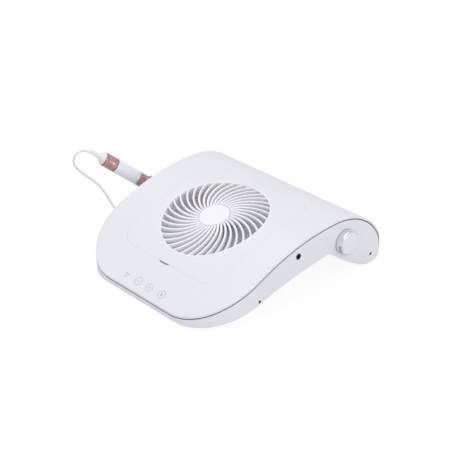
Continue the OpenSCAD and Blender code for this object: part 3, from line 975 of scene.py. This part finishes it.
@dataclass
class Shells:
    """The lower shell and the top skin, a dark strip of painted shade in the gap between them and the wells
    in the side walls.
    """

    wave: Wave
    vents: Vents
    skin: float = 2.6
    skin_edge: float = 0.7
    floor: float = 2.6
    wall: float = 3.0
    shell_edge: float = 0.5
    shell_angle: float = 38
    hollow_end: float = 0.93
    hollow_ends: Flat = (20, 360)
    hollow_top: float = 200
    gap: float = 1.7
    gap_in: float = 1.4
    gap_lap: float = 1
    shade_strip_play: float = 0.03
    # The painted shade strip in the gap between the shells: its play and how far it reaches in from the plan.
    shade_strip_out: float = 0.95
    shade_strip_in: float = 0.02
    panel: float = 2.0
    panel_half: float = 93
    panel_ends: Flat = (46, 225.5)
    panel_r: float = 25
    panel_gap: float = 0.15
    recess_edge: float = 0.2
    recess_angle: float = 60
    ledge: float = 4.5
    ledge_t: float = 2.4
    notch: Flat = (22, 2.1)
    notch_lap: float = 3
    notch_radii: Flat = (5.6, 0.1)
    wells: tuple = ((82, 28.6), (290.5, 14.8))
    well_r: float = 2.2
    well_steps: int = 40
    well_ring: tuple = ((-0.4, 2.4), (-0.4, 4), (0.3, 4), (0.5, 3.7), (0.5, 2.7), (0.3, 2.4))
    well_plug: tuple = ((-2.2, 0), (-2.2, 2.2), (0.1, 2.2), (0.3, 1.9), (0.3, 0))
    drill_out: float = 5
    drill_l: float = 9

    def opening(self, name: str, inset: float) -> bpy.types.Object:
        """The cover's plan, set in from its edge."""
        box = (self.panel_half - inset, self.panel_ends[0] + inset, self.panel_ends[1] - inset)
        return self.wave.upright(name, box, (self.panel_r - inset, self.panel_r - inset))

    def top_skin(self) -> bpy.types.Object:
        """Models the top skin with the cover's recess, its ledge and the finger notch.

        Returns:
            The skin.
        """
        w = self.wave
        skin = w.band("top_skin", 0, self.skin)
        Bench.cut(skin, w.plan("plan", 0), Cut.COMMON)
        Bench.soften(skin, self.skin_edge)
        Bench.cut(skin, self.opening("recess", -self.panel_gap))
        wide, deep = self.notch
        front = self.panel_ends[0]
        notch = w.upright("notch", (wide / 2, front - deep, front + self.notch_lap), self.notch_radii)
        Bench.cut(skin, notch, keep=True)
        Bench.soften(skin, self.recess_edge, 2, self.recess_angle)
        Bench.even(skin)
        ledge = w.band("ledge", self.panel, self.panel + self.ledge_t)
        Bench.cut(ledge, self.opening("ledge_out", -self.ledge), Cut.COMMON)
        Bench.cut(ledge, self.opening("ledge_in", self.ledge))
        Bench.cut(ledge, notch)
        Bench.smooth(ledge)
        return Bench.join([skin, ledge])

    def lower_shell(self) -> bpy.types.Object:
        """Models the lower shell with its cavity, the gap under the skin, side holes and exhaust slots.

        Returns:
            The shell.
        """
        w = self.wave
        shell = w.across("lower_shell", w.top(self.skin) + w.under(0))
        Bench.cut(shell, w.plan("plan", 0), Cut.COMMON)
        front, rear = self.hollow_ends
        roof = ((front, self.hollow_top), (rear, self.hollow_top), (rear, w.back))
        hollow = w.across("hollow", [*w.under(self.floor, self.hollow_end), *(Vector(p) for p in roof)])
        Bench.cut(hollow, w.plan("plan_in", self.wall), Cut.COMMON)
        Bench.cut(shell, hollow)
        groove = w.band("groove", self.skin - self.gap_lap, self.skin + self.gap)
        Bench.cut(groove, w.plan("plan_gap", self.gap_in))
        Bench.cut(shell, groove)
        for place, radius in self.holes():
            side = 1 if place.x > w.at(0, 0, 0).x else -1
            start = place + Vector((side * self.drill_out * MM, 0, 0))
            Bench.cut(shell, rod("drill", start, Vector((-side * self.drill_l * MM, 0, 0)), radius))
        Bench.cut(shell, self.vents.tool())
        Bench.soften(shell, self.shell_edge, 2, self.shell_angle)
        Bench.even(shell)
        return shell

    def at_wells(self, name: str, line: Sequence[Flat]) -> bpy.types.Object:
        """Turns one shape at every well in the side walls.

        Args:
            name: the piece's name.
            line: its profile outwards from the wall's face, in millimetres.

        Returns:
            The piece.
        """
        turned = []
        for side in (-1, 1):
            for y, z in self.wells:
                centre = self.wave.at(side * self.wave.width / 2, y, z)
                way = Vector((side, 0, 0))
                turned.append(Bench.lathe(name, metres(line), centre, way, self.well_steps))
                Bench.smooth(turned[-1])
        return Bench.join(turned)

    def seal(self) -> bpy.types.Object:
        """Models the dark strip in the gap between the shells, which is painted shade that darkens the gap.

        Returns:
            The seal.
        """
        w = self.wave
        # A dark strip laid in the gap as painted shade.
        strip = w.band("painted_gap_shade", self.skin + self.shade_strip_play, self.skin + self.gap - self.shade_strip_play)
        Bench.cut(strip, w.plan("shade_strip_out", self.gap_in - self.shade_strip_out), Cut.COMMON)
        Bench.cut(strip, w.plan("shade_strip_in", self.gap_in - self.shade_strip_in))
        Bench.smooth(strip)
        return strip

    def holes(self) -> list[tuple[Vector, float]]:
        """Finds the round holes in the side walls.

        Returns:
            Each hole's place in metres and its radius in millimetres.
        """
        half = self.wave.width / 2
        found = [(self.wave.at(s * half, y, z), self.well_r) for s in (-1, 1) for y, z in self.wells]
        for node, side in (("dc_jack", 1), ("lead_jack", -1)):
            low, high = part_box(node)
            middle = (Vector(low) + Vector(high)) / 2
            middle.x = self.wave.at(side * half, 0, 0).x
            found.append((middle, (high[1] - low[1]) / 2 / MM))
        return found

    def build(self) -> None:
        """Models, dresses and mounts the shells and what is set into them."""
        rows = (
            (self.top_skin(), Finish.SHELL, "white_shell", "top_shell"),
            (self.lower_shell(), Finish.SHELL, "white_shell", "bottom_shell"),
            (self.seal(), Finish.SEAL, "grey_rubber"),
            (self.at_wells("well_rings", self.well_ring), Finish.BRIGHT, "white_shell"),
            (self.at_wells("well_plugs", self.well_plug), Finish.BLACK, "black_plastic", "side_plugs"),
        )
        for piece, finish, slot, *nodes in rows:
            dress(piece, finish)
            mount(piece, "base", slot, *nodes)


@dataclass
class Cover:
    """The lift-off cover panel with its swirl grille and hub cap."""

    shells: Shells
    fan: Fan
    radius: float = 76
    panel_edge: float = 0.25
    hub: float = 22
    hub_edge: float = 0.5
    fins: int = 36
    fin: float = 2.9
    fin_edge: float = 0.22
    fin_steps: int = 12
    fin_root: float = 1
    fin_base: float = 13.6
    depth: float = 5
    sink: float = 0.6
    sweep: float = 34
    skirt: float = 2
    skirt_edge: float = 0.4
    skirt_steps: int = 128
    skirt_z: float = 15
    skirt_top: float = 8
    skirt_sink: float = 0.05
    cap_in: float = 1.5
    cap_sink: float = 0.1
    cap_edge: float = 0.3
    disc_base: float = 16
    tall: float = 24
    clear: float = 30
    above: float = 40

    def panel(self) -> bpy.types.Object:
        """Models the cover panel with its round opening.

        Returns:
            The panel.
        """
        piece = self.shells.wave.band("cover_skin", 0, self.shells.panel)
        Bench.cut(piece, self.shells.opening("panel_plan", 0), Cut.COMMON)
        start = self.fan.place(0, 0, -self.clear)
        Bench.cut(piece, rod("mouth", start, self.fan.axis * (2 * self.clear) * MM, self.radius))
        Bench.soften(piece, self.panel_edge, 2)
        Bench.even(piece)
        return piece

    def fin_line(self, side: float) -> list[Vector]:
        """Follows one long edge of a fin from the hub to the rim.

        Args:
            side: 1 or -1 for the fin's two edges.

        Returns:
            The edge's points, below the grille.
        """
        line = []
        for i in range(self.fin_steps + 1):
            r = self.hub - self.fin_root + (self.radius - self.hub) * i / self.fin_steps
            a = -math.radians(self.sweep) * i / self.fin_steps + side * self.fin / 2 / r
            line.append(self.fan.place(r * math.cos(a), r * math.sin(a), -self.fin_base))
        return line

    def disc(self, name: str, radius: float, depths: Flat) -> bpy.types.Object:
        """Models a round disc about the fan's axis that follows the cover's wave.

        Args:
            name: the disc's name.
            radius: its radius.
            depths: its top and its underside, below the cover's surface.

        Returns:
            The disc.
        """
        piece = rod(name, self.fan.place(0, 0, -self.disc_base), self.fan.axis * self.tall * MM, radius)
        Bench.cut(piece, self.shells.wave.band("disc_band", *depths), Cut.COMMON)
        return piece

    def grille(self) -> bpy.types.Object:
        """Models the swirl fins that follow the cover's wave, with the hub and the skirt.

        Returns:
            The grille.
        """
        fan = self.fan
        depths = (self.sink, self.sink + self.depth)
        fins = Bench.outline("grille_fins", self.fin_line(1) + self.fin_line(-1)[::-1])
        Bench.sweep(fins, fan.axis * self.tall * MM)
        Bench.repeat(fins, self.fins, fan.centre, fan.axis)
        Bench.cut(fins, self.shells.wave.band("fin_band", *depths), Cut.COMMON)
        Bench.soften(fins, self.fin_edge, 2)
        hub = self.disc("hub_disc", self.hub, depths)
        Bench.soften(hub, self.hub_edge, 2)
        low, top = -self.skirt_z, self.skirt_top
        inner, outer = self.radius - self.skirt, self.radius
        wall = metres(((low, inner), (low, outer), (top, outer), (top, inner)))
        skirt = Bench.lathe("grille_skirt", wall, fan.centre, fan.axis, self.skirt_steps)
        Bench.cut(skirt, self.shells.wave.band("over", -self.above, self.skirt_sink))
        Bench.soften(skirt, self.skirt_edge, 2)
        return Bench.join([fins, hub, skirt])

    def cap(self) -> bpy.types.Object:
        """Models the bare hub cap, just below the cover's surface.

        Returns:
            The cap.
        """
        piece = self.disc("hub_disc_cap", self.hub - self.cap_in, (self.cap_sink, self.sink))
        Bench.soften(piece, self.cap_edge)
        Bench.even(piece)
        return piece

    def build(self) -> None:
        """Models, dresses and mounts the cover."""
        rows = (
            (self.panel(), Finish.SHELL, "cover_panel"),
            (self.grille(), Finish.BRIGHT, "grille"),
            (self.cap(), Finish.BRIGHT, "hub_cap"),
        )
        for piece, finish, node in rows:
            dress(piece, finish)
            mount(piece, "cover", "white_shell", node)


@dataclass
class Knob:
    """The speed knob: a white cap in a bright skirt."""

    radius: float = 16.8
    skin: float = 1.0
    edge: float = 0.25
    steps: int = 96

    def build(self) -> None:
        """Models, dresses and mounts the knob."""
        low, high = (Vector(p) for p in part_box("knob_skirt"))
        centre = Vector((low.x, (low.y + high.y) / 2, (low.z + high.z) / 2))
        tall = (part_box("speed_knob")[1][0] - low.x) / MM
        outer, inner = self.radius, self.radius - self.skin
        cap = ((0, 0), (0, inner), (tall - 1.6, inner), (tall - 0.5, inner - 0.7), (tall - 0.1, inner - 1.9),
               (tall - 0.5, inner * 0.55), (tall - 0.7, 0))
        ring = ((0, inner), (0, outer), (tall - 2.0, outer), (tall - 1.3, outer - 0.35), (tall - 1.2, inner))
        rows = (
            ("knob_cap", cap, Finish.SHELL, "white_shell", "speed_knob"),
            ("knob_ring", ring, Finish.PLATE, "chrome", "knob_skirt"),
        )
        for name, line, finish, slot, node in rows:
            piece = Bench.lathe(name, metres(line), centre, Vector((1, 0, 0)), self.steps)
            Bench.soften(piece, self.edge, 2)
            dress(piece, finish)
            mount(piece, "knob", slot, node)


@dataclass
class Handpiece:
    """The drill handpiece, turned about its leaning axis, in millimetres from the cup's mouth to the nose."""

    wave: Wave
    mouth: tuple = (-164.5, 155, 57)
    radius: float = 10
    wall: float = 1.6
    edge: float = 0.22
    edge_angle: float = 28
    steps: int = 72
    cord: float = 1.75
    relief: Flat = (-97.5, -83.5)
    relief_ribs: int = 4
    relief_start: float = 1.6
    relief_pitch: float = 3.0
    relief_taper: float = 0.125
    tail: Flat = (-83.5, -73.5)
    tail_lap: float = 4
    sleeve: Flat = (-77.5, -57)
    barrel: Flat = (-57, -21.5)
    bright: Flat = (-21.5, -18.9)
    collar: Flat = (-18.5, 16)
    collar_nose: float = 6
    collar_bore: Flat = (6.45, 4.9)
    groove: tuple = (0.25, 0.8, 1.05)
    groove_deep: float = 0.4
    # The dark bands of painted shade at the sleeve's ends: width, set-in from each end, lift and depth.
    shade_band: float = 0.8
    shade_band_in: Flat = (0.6, 1.4)
    shade_band_out: float = 0.06
    shade_band_deep: float = 0.6

    def turn(self, name: str, start: float, body: str, dressing: tuple, line: Sequence[Flat]) -> None:
        """Turns, dresses and mounts one piece.

        Args:
            name: the piece's name.
            start: the place of the profile's zero along the axis, towards the nose.
            body: the body that carries it.
            dressing: its finish, the record's material slot and any CAD node that it replaces.
            line: the closed profile, in millimetres.
        """
        finish, slot, *nodes = dressing
        profile = metres((start + a, r) for a, r in line)
        piece = Bench.lathe(name, profile, self.wave.at(*self.mouth), Vector(NOSE), self.steps)
        Bench.soften(piece, self.edge, 2, self.edge_angle)
        dress(piece, finish)
        mount(piece, body, slot, *nodes)

    def ribs(self, length: float, count: int, start: float, pitch: float) -> list[Flat]:
        """Draws an outer line with turned grooves.

        Args:
            length: the piece's length.
            count: the number of grooves.
            start: where the first groove begins.
            pitch: the grooves' spacing.

        Returns:
            The outer line from tail to nose.
        """
        r = self.radius
        low = r - self.groove_deep
        sunk, rising, done = self.groove
        line = [(0, r - 0.35), (0.5, r)]
        for i in range(count):
            a = start + i * pitch
            line += [(a, r), (a + sunk, low), (a + rising, low), (a + done, r)]
        return [*line, (length - 0.4, r), (length, r - 0.3)]

    def tail_cap(self) -> None:
        """Turns the tail's cap, rounded towards the cord."""
        r, c, bore = self.radius, self.cord, self.radius - self.wall
        n = self.tail[1] - self.tail[0]
        step = n - self.tail_lap
        line = [(0, c), (0, r - 5.4), (0.5, r - 4.4), (1.6, r - 3.0), (3.2, r - 1.8), (4.8, r - 1.1),
                (step, r - 0.9), (step, bore), (n, bore), (n, c)]
        self.turn("tail", self.tail[0], "handpiece", (Finish.SHELL, "white_shell", "tail_cap"), line)

    def strain_relief(self) -> None:
        """Turns the ribbed sleeve round the cord's end."""
        c = self.cord
        n = self.relief[1] - self.relief[0]
        line = [(0, c), (0, c + 0.8)]
        for i in range(self.relief_ribs):
            a = self.relief_start + i * self.relief_pitch
            s = c + a * self.relief_taper
            line += [(a, s + 0.9), (a + 0.3, s + 0.45), (a + 1.1, s + 0.5), (a + 1.4, s + 1.0)]
        line += [(n, c + 2.7), (n, c)]
        dressing = (Finish.JACKET, "cord_jacket", "strain_relief")
        self.turn("relief", self.relief[0], "handpiece", dressing, line)

    def rear_sleeve(self) -> None:
        """Turns the grooved sleeve behind the barrel and a dark band of painted shade near each of its ends.
        """
        r, bore = self.radius, self.radius - self.wall
        tail, nose = self.sleeve
        n = nose - tail
        line = [(0, bore), *self.ribs(n, 3, 5.5, 2.6), (n, bore)]
        self.turn("sleeve", tail, "handpiece", (Finish.ROSE, "rose_gold", "rear_sleeve"), line)
        # Dark bands near the sleeve's two ends, as painted shade.
        low, top = r - self.shade_band_deep, r + self.shade_band_out
        line = [(0, low), (0.1, top), (self.shade_band - 0.1, top), (self.shade_band, low)]
        first, last = self.shade_band_in
        for name, start in (("tail_shade_band", tail + first), ("barrel_shade_band", nose - last)):
            self.turn(name, start, "handpiece", (Finish.DARK, "steel"), line)

    def cup_ring(self) -> None:
        """Turns the ring on the cup's mouth."""
        r = self.radius
        line = [(-0.8, r + 0.5), (-1.0, r + 0.9), (-0.8, r + 2.6), (-0.2, r + 3.3), (1.6, r + 3.3),
                (2.0, r + 3.0), (2.0, r + 1.4), (0, r + 0.5)]
        self.turn("cup_ring", 0, "base", (Finish.ROSE, "rose_gold"), line)

    def grip(self) -> None:
        """Turns the white barrel and the bright ring at its nose end."""
        r, bore = self.radius, self.radius - self.wall
        n = self.barrel[1] - self.barrel[0]
        line = [(0, bore), (0, r - 0.15), (0.4, r), (n - 0.4, r), (n, r - 0.15), (n, bore)]
        self.turn("white_barrel", self.barrel[0], "handpiece", (Finish.BARREL, "white_shell", "barrel"), line)
        n = self.bright[1] - self.bright[0]
        line = [(0, 0), (0, r - 0.1), (0.3, r + 0.15), (n - 0.3, r + 0.15), (n, r - 0.1), (n, 0)]
        self.turn("silver_ring", self.bright[0], "handpiece", (Finish.CHROME, "chrome", "bright_ring"), line)

    def twist_collar(self) -> None:
        """Turns the grooved collar, which narrows towards the nose."""
        r = self.radius
        bore, mouth = self.collar_bore
        n = self.collar[1] - self.collar[0]
        line = [(0, bore), *self.ribs(n - self.collar_nose, 3, 8.5, 2.4), (n - 1.2, r - 3.0), (n, r - 3.9),
                (n, mouth), (n - 1.6, mouth), (n - 1.6, bore)]
        self.turn("collar", self.collar[0], "collar", (Finish.ROSE, "rose_gold", "twist_collar"), line)

    def build(self) -> None:
        """Models every outer piece of the handpiece and the ring on its cup."""
        self.tail_cap()
        self.strain_relief()
        self.rear_sleeve()
        self.cup_ring()
        self.grip()
        self.twist_collar()


@dataclass
class Lead:
    """The handpiece's cord, from the strain relief round in the air to its plug."""

    wave: Wave
    radius: float = 1.7
    route: tuple = (
        (-197.6, 92.7, 112.1), (-200.6, 87.2, 117.0), (-202.3, 82, 119), (-204, 77, 121.2),
        (-205.7, 71.5, 121.5), (-207.2, 66.4, 119.2), (-208.4, 63, 114.9), (-209.3, 61.5, 109.3),
        (-209.8, 62.4, 103.6), (-210.1, 64.9, 98.3), (-210.1, 68.1, 93.5), (-209.9, 71.8, 89),
        (-209.4, 75.6, 84.7), (-208.5, 79.5, 80.5), (-207.3, 83.5, 76.5), (-205.8, 87.4, 72.5),
        (-203.9, 91, 68.4), (-201.5, 94, 64), (-198.9, 96.5, 59.5), (-195.9, 98.6, 55),
        (-192.6, 100.1, 50.4), (-189.3, 101.1, 45.8), (-185.4, 101.5, 41.5), (-180.5, 101.1, 38.4),
        (-175, 99.5, 37.2), (-169.5, 97.3, 37.4), (-164, 96.2, 37.9), (-161, 96, 38), (-158, 96, 38),
    )
    exit: int = 1
    rides_until: int = 3
    rests_from: int = 22
    steps: int = 6
    sides: int = 5
    angle: float = 60

    def tube(self, line: Sequence[Vector]) -> bpy.types.Object:
        """Lays a round tube along a line.

        Args:
            line: the tube's middle.

        Returns:
            The tube as a mesh with closed ends.
        """
        Bench.clear()
        curve = bpy.data.curves.new("handpiece_cord", "CURVE")
        curve.dimensions = "3D"
        curve.bevel_depth = self.radius * MM
        curve.bevel_resolution = self.sides
        curve.use_fill_caps = True
        spline = curve.splines.new("POLY")
        spline.points.add(len(line) - 1)
        for point, place in zip(spline.points, line):
            point.co = (*place, 1)
        cord = bpy.data.objects.new("handpiece_cord", curve)
        bpy.context.scene.collection.objects.link(cord)
        Bench.hold(cord)
        bpy.ops.object.convert(target="MESH")
        cord = bpy.context.object
        Bench.smooth(cord, self.angle)
        return cord

    def build(self) -> None:
        points = [self.wave.at(*p) for p in self.route]
        fine = self.smooth_line(points, self.steps)
        cord = self.tube(fine)
        dress(cord, Finish.JACKET)
        length = sum((b - a).length for a, b in zip(fine, fine[1:]))
        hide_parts("cord_lead")
        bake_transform(cord)
        LOG.info("%s of %.3f m from base to handpiece", cord.name, length)

    @staticmethod
    def smooth_line(points: Sequence[Vector], steps: int) -> list[Vector]:
        """Draws a smooth curve through points.

        Args:
            points: the points that it passes through.
            steps: the steps between two points.

        Returns:
            The curve's points.
        """
        line = []
        ends = [2 * points[0] - points[1], *points, 2 * points[-1] - points[-2]]
        for a, b, c, d in zip(ends, ends[1:], ends[2:], ends[3:]):
            for i in range(steps):
                t = i / steps
                line.append(0.5 * (2 * b + (c - a) * t + (2 * a - 5 * b + 4 * c - d) * t * t
                                   + (3 * b - a - 3 * c + d) * t**3))
        return [*line, points[-1]]


class Glyph(Enum):
    """What a touch key shows, from left to right."""

    FAN = 0
    LESS = 1
    MORE = 2
    POWER = 3


@dataclass
class TouchKeys:
    """The four printed touch keys on the front lip, in millimetres."""

    wave: Wave
    places: tuple = (-36.5, -13, 9, 33)
    y: float = 12
    ring: float = 5.6
    ring_gap: float = 4
    ring_steps: int = 40
    line: float = 0.75
    film: float = 0.12
    lift: float = 0.02
    dash: Flat = (4.2, 0.8)
    stub: Flat = (0.8, 1.8)
    stub_y: float = 1.35
    leaf: tuple = ((0.4, 0), (2.6, -1.5), (4.6, -0.6), (3.6, 0.6), (1.4, 0.7))
    leaves: int = 3
    leaf_turn: float = 20
    power: Flat = (1.3, 4.4)
    power_y: float = 0.2

    def strip(self, name: str, points: Sequence[Flat], x: float) -> bpy.types.Object:
        """A thin closed film on the lip, from its outline about the middle of a key at x."""
        piece = Bench.outline(name, [self.lay(x, a, b) for a, b in points])
        return Bench.sweep(piece, self.normal() * self.film * MM)

    def normal(self) -> Vector:
        """The lip's outward normal at the keys."""
        rise = self.wave.height(self.y + 1) - self.wave.height(self.y - 1)
        return Vector((0, -rise, 2)).normalized()

    def lay(self, x: float, a: float, b: float) -> Vector:
        """Finds a place on the lip's surface near a key.

        Args:
            x: the key's place along the lip.
            a: the distance from the key's middle along the lip.
            b: the distance from it up the lip.

        Returns:
            The place, in metres.
        """
        up = self.normal().cross(Vector((1, 0, 0))).normalized()
        y = self.y + b * up.y
        return self.wave.at(x + a, y, self.wave.height(y) + self.lift)

    def rim(self) -> list[Flat]:
        """Draws a key's ring, with a small gap that keeps its outline in one piece.

        Returns:
            The outline.
        """
        first, last = self.ring_gap, 360 - self.ring_gap
        places = [first + (last - first) * i / self.ring_steps for i in range(self.ring_steps + 1)]
        angles = [math.radians(a) for a in places]
        outer, inner = self.ring + self.line / 2, self.ring - self.line / 2
        out = [(outer * math.cos(a), outer * math.sin(a)) for a in angles]
        back = [(inner * math.cos(a), inner * math.sin(a)) for a in angles[::-1]]
        return out + back

    @staticmethod
    def bar(b: float, size: Flat) -> list[Flat]:
        """A bar's outline about a point up the lip from the key's middle."""
        wide, tall = size
        return [(i * wide / 2, b + k * tall / 2) for i, k in ((-1, -1), (1, -1), (1, 1), (-1, 1))]

    def blades(self) -> list[list[Flat]]:
        """Draws the fan's blades.

        Returns:
            One outline for each blade.
        """
        blades = []
        for k in range(self.leaves):
            turn = math.radians(360 / self.leaves * k + self.leaf_turn)
            c, s = math.cos(turn), math.sin(turn)
            blades.append([(a * c - b * s, a * s + b * c) for a, b in self.leaf])
        return blades

    def shapes(self, glyph: Glyph) -> list[list[Flat]]:
        """Draws one key's print.

        Args:
            glyph: what the key shows.

        Returns:
            The outlines that make up the print.
        """
        if glyph is Glyph.FAN:
            return self.blades()
        if glyph is Glyph.LESS:
            return [self.rim(), self.bar(0, self.dash)]
        if glyph is Glyph.MORE:
            stubs = [self.bar(b, self.stub) for b in (self.stub_y, -self.stub_y)]
            return [self.rim(), self.bar(0, self.dash), *stubs]
        return [self.rim()]

    def build(self) -> None:
        """Prints the keys, with the power key's bar in a darker ink."""
        films = []
        for x, glyph in zip(self.places, Glyph):
            films += [self.strip(f"key_{glyph.name.lower()}", shape, x) for shape in self.shapes(glyph)]
        prints = Bench.join(films)
        prints.name = "key_prints"
        mark = self.strip("power_mark", self.bar(self.power_y, self.power), self.places[-1])
        for piece, finish in ((prints, Finish.PRINT), (mark, Finish.INK)):
            dress(piece, finish)
            mount(piece, "base", "circuit_board")


class Innards:
    """CAD nodes that show as they are, each in its own finish."""

    FINISHES = {
        Finish.STEEL: ("case_screws", "fan_motor", "fan_shaft", "knob_shaft", "drill_motor",
                       "spindle_housing", "drill_spindle", "collet"),
        Finish.BLACK: ("potentiometer", "dc_jack", "lead_jack"),
        Finish.FEET: ("front_feet", "rear_pads", "holder_grip"),
        Finish.MOULDING: ("fan_shroud", "motor_mount", "fan_impeller", "filter_frame"),
        Finish.SHELL: ("holder", "knob_bezel"),
        Finish.FLEECE: ("filter_media",),
        Finish.BOARD: ("touch_board", "control_board"),
        Finish.JACKET: ("cord_plug",),
    }

    def build(self) -> None:
        """Dresses the nodes."""
        for finish, names in self.FINISHES.items():
            for name in names:
                dress(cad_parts[name], finish)
                LOG.info("%s in %s", name, finish.value.name)


@dataclass
class Studio:
    """The camera at the photograph's angle, the pale floor and soft light.

    The camera and the lamps' aim are in the slab's millimetres, and the lamps, panels and floor in metres.
    """

    wave: Wave
    eye: tuple = (1075.46, -832.04, 852.06)
    azimuth: float = 47.3989
    elevation: float = 29.0655
    roll: float = -0.5755
    lens: float = 98.61
    sensor: float = 36
    shift: Flat = (-0.0028, 0.01815)
    far: float = 20
    aim: tuple = (0, 150, 50)
    key: float = 11.5
    lamps: tuple = (("key", (-0.6, -0.1, 1.9), 1.0, 2.2), ("fill", (1.9, -0.4, 1.0), 0.8, 1.4))
    flags: tuple = (("left_flag", (-1.3, -1.3, 0.45)), ("right_flag", (1.5, 1.5, 0.45)))
    flag_turn: float = 45
    flag_size: Flat = (1.4, 0.9)
    flag_colour: tuple = (0.03, 0.03, 0.035)
    floor_w: float = 12
    floor_colour: tuple = (0.78, 0.78, 0.80)
    dull: float = 0.9
    glow: float = 0.85
    glow_gain: float = 1.08
    sky: float = 0.75
    sky_colour: tuple = (0.985, 0.99, 1.0, 1)

    def camera(self) -> None:
        """Sets the camera."""
        data = bpy.data.cameras.new("photo_camera")
        data.lens = self.lens
        data.sensor_width = self.sensor
        data.shift_x, data.shift_y = self.shift
        data.clip_end = self.far
        camera = bpy.data.objects.new("photo_camera", data)
        camera.location = self.wave.at(*self.eye)
        stand = Euler((math.radians(90 - self.elevation), 0, math.radians(self.azimuth))).to_matrix()
        camera.rotation_euler = (stand @ Matrix.Rotation(math.radians(self.roll), 3, "Z")).to_euler()
        bpy.context.scene.collection.objects.link(camera)
        bpy.context.scene.camera = camera

    def lamp(self, name: str, place: tuple, share: float, size: float) -> None:
        """Hangs one soft square lamp that faces the object.

        Args:
            name: the lamp's name.
            place: its middle.
            share: its power as a share of the key lamp's.
            size: its width.
        """
        data = bpy.data.lights.new(name, "AREA")
        data.energy = self.key * share
        data.size = size
        lamp = bpy.data.objects.new(name, data)
        lamp.location = Vector(place)
        aim = self.wave.at(*self.aim) - lamp.location
        lamp.rotation_euler = aim.to_track_quat("-Z", "Y").to_euler()
        bpy.context.scene.collection.objects.link(lamp)

    def flag(self, name: str, place: tuple) -> None:
        """Stands one dark upright panel beside the picture, for the bright metal to mirror.

        Args:
            name: the panel's name.
            place: its middle.
        """
        Bench.clear()
        turn = (math.radians(90), 0, math.radians(self.flag_turn))
        bpy.ops.mesh.primitive_plane_add(size=1, location=place, rotation=turn)
        panel = bpy.context.object
        panel.name = name
        panel.scale = (*self.flag_size, 1)
        shader = Shader(name)
        shader.set(Base_Color=self.flag_colour, Roughness=self.dull)
        panel.data.materials.append(shader.material)
        panel.visible_camera = False

    def floor(self) -> None:
        """Lays a wide pale floor that the camera sees as nearly white."""
        Bench.clear()
        bpy.ops.mesh.primitive_plane_add(size=self.floor_w, location=(0, 0, 0))
        floor = bpy.context.object
        floor.name = "floor"
        shader = Shader("pale_floor")
        shader.set(Base_Color=self.floor_colour, Roughness=self.dull)
        lit = shader.node("ShaderNodeEmission", {}, {"Color": (1.0, 1.0, 1.0), "Strength": self.glow_gain})
        seen = shader.value("ShaderNodeLightPath", {}, {}, "Is Camera Ray")
        both = shader.node("ShaderNodeMixShader", {}, {0: seen * self.glow, 2: lit.outputs[0]})
        shader.feed(both.inputs[1], shader.surface.outputs[0])
        shader.feed(shader.tree.nodes["Material Output"].inputs["Surface"], both.outputs[0])
        floor.data.materials.append(shader.material)

    def world(self) -> None:
        """Hangs an even pale sky that the camera sees as white."""
        world = bpy.data.worlds.new("studio")
        world.use_nodes = True
        tree = world.node_tree
        sky = tree.nodes["Background"]
        sky.inputs["Color"].default_value = self.sky_colour
        sky.inputs["Strength"].default_value = self.sky
        plain = tree.nodes.new("ShaderNodeBackground")
        plain.inputs["Color"].default_value = (1, 1, 1, 1)
        mix = tree.nodes.new("ShaderNodeMixShader")
        path = tree.nodes.new("ShaderNodeLightPath")
        tree.links.new(path.outputs["Is Camera Ray"], mix.inputs[0])
        tree.links.new(sky.outputs[0], mix.inputs[1])
        tree.links.new(plain.outputs[0], mix.inputs[2])
        tree.links.new(mix.outputs[0], tree.nodes["World Output"].inputs["Surface"])
        bpy.context.scene.world = world

    def build(self) -> None:
        """Sets up the whole studio."""
        bpy.context.scene.view_settings.view_transform = "Standard"
        self.camera()
        self.floor()
        self.world()
        for lamp in self.lamps:
            self.lamp(*lamp)
        for flag in self.flags:
            self.flag(*flag)


def main() -> None:
    """Builds the object in order."""
    logging.basicConfig(level=logging.INFO, format="%(message)s")
    wave = Wave()
    fan = Fan(wave)
    Studio(wave).build()
    Lead(wave).build()
    Innards().build()
    shells = Shells(wave, Vents(fan))
    shells.build()
    Cover(shells, fan).build()
    Knob().build()
    Handpiece(wave).build()
    TouchKeys(wave).build()


if __name__ == "__main__":
    main()
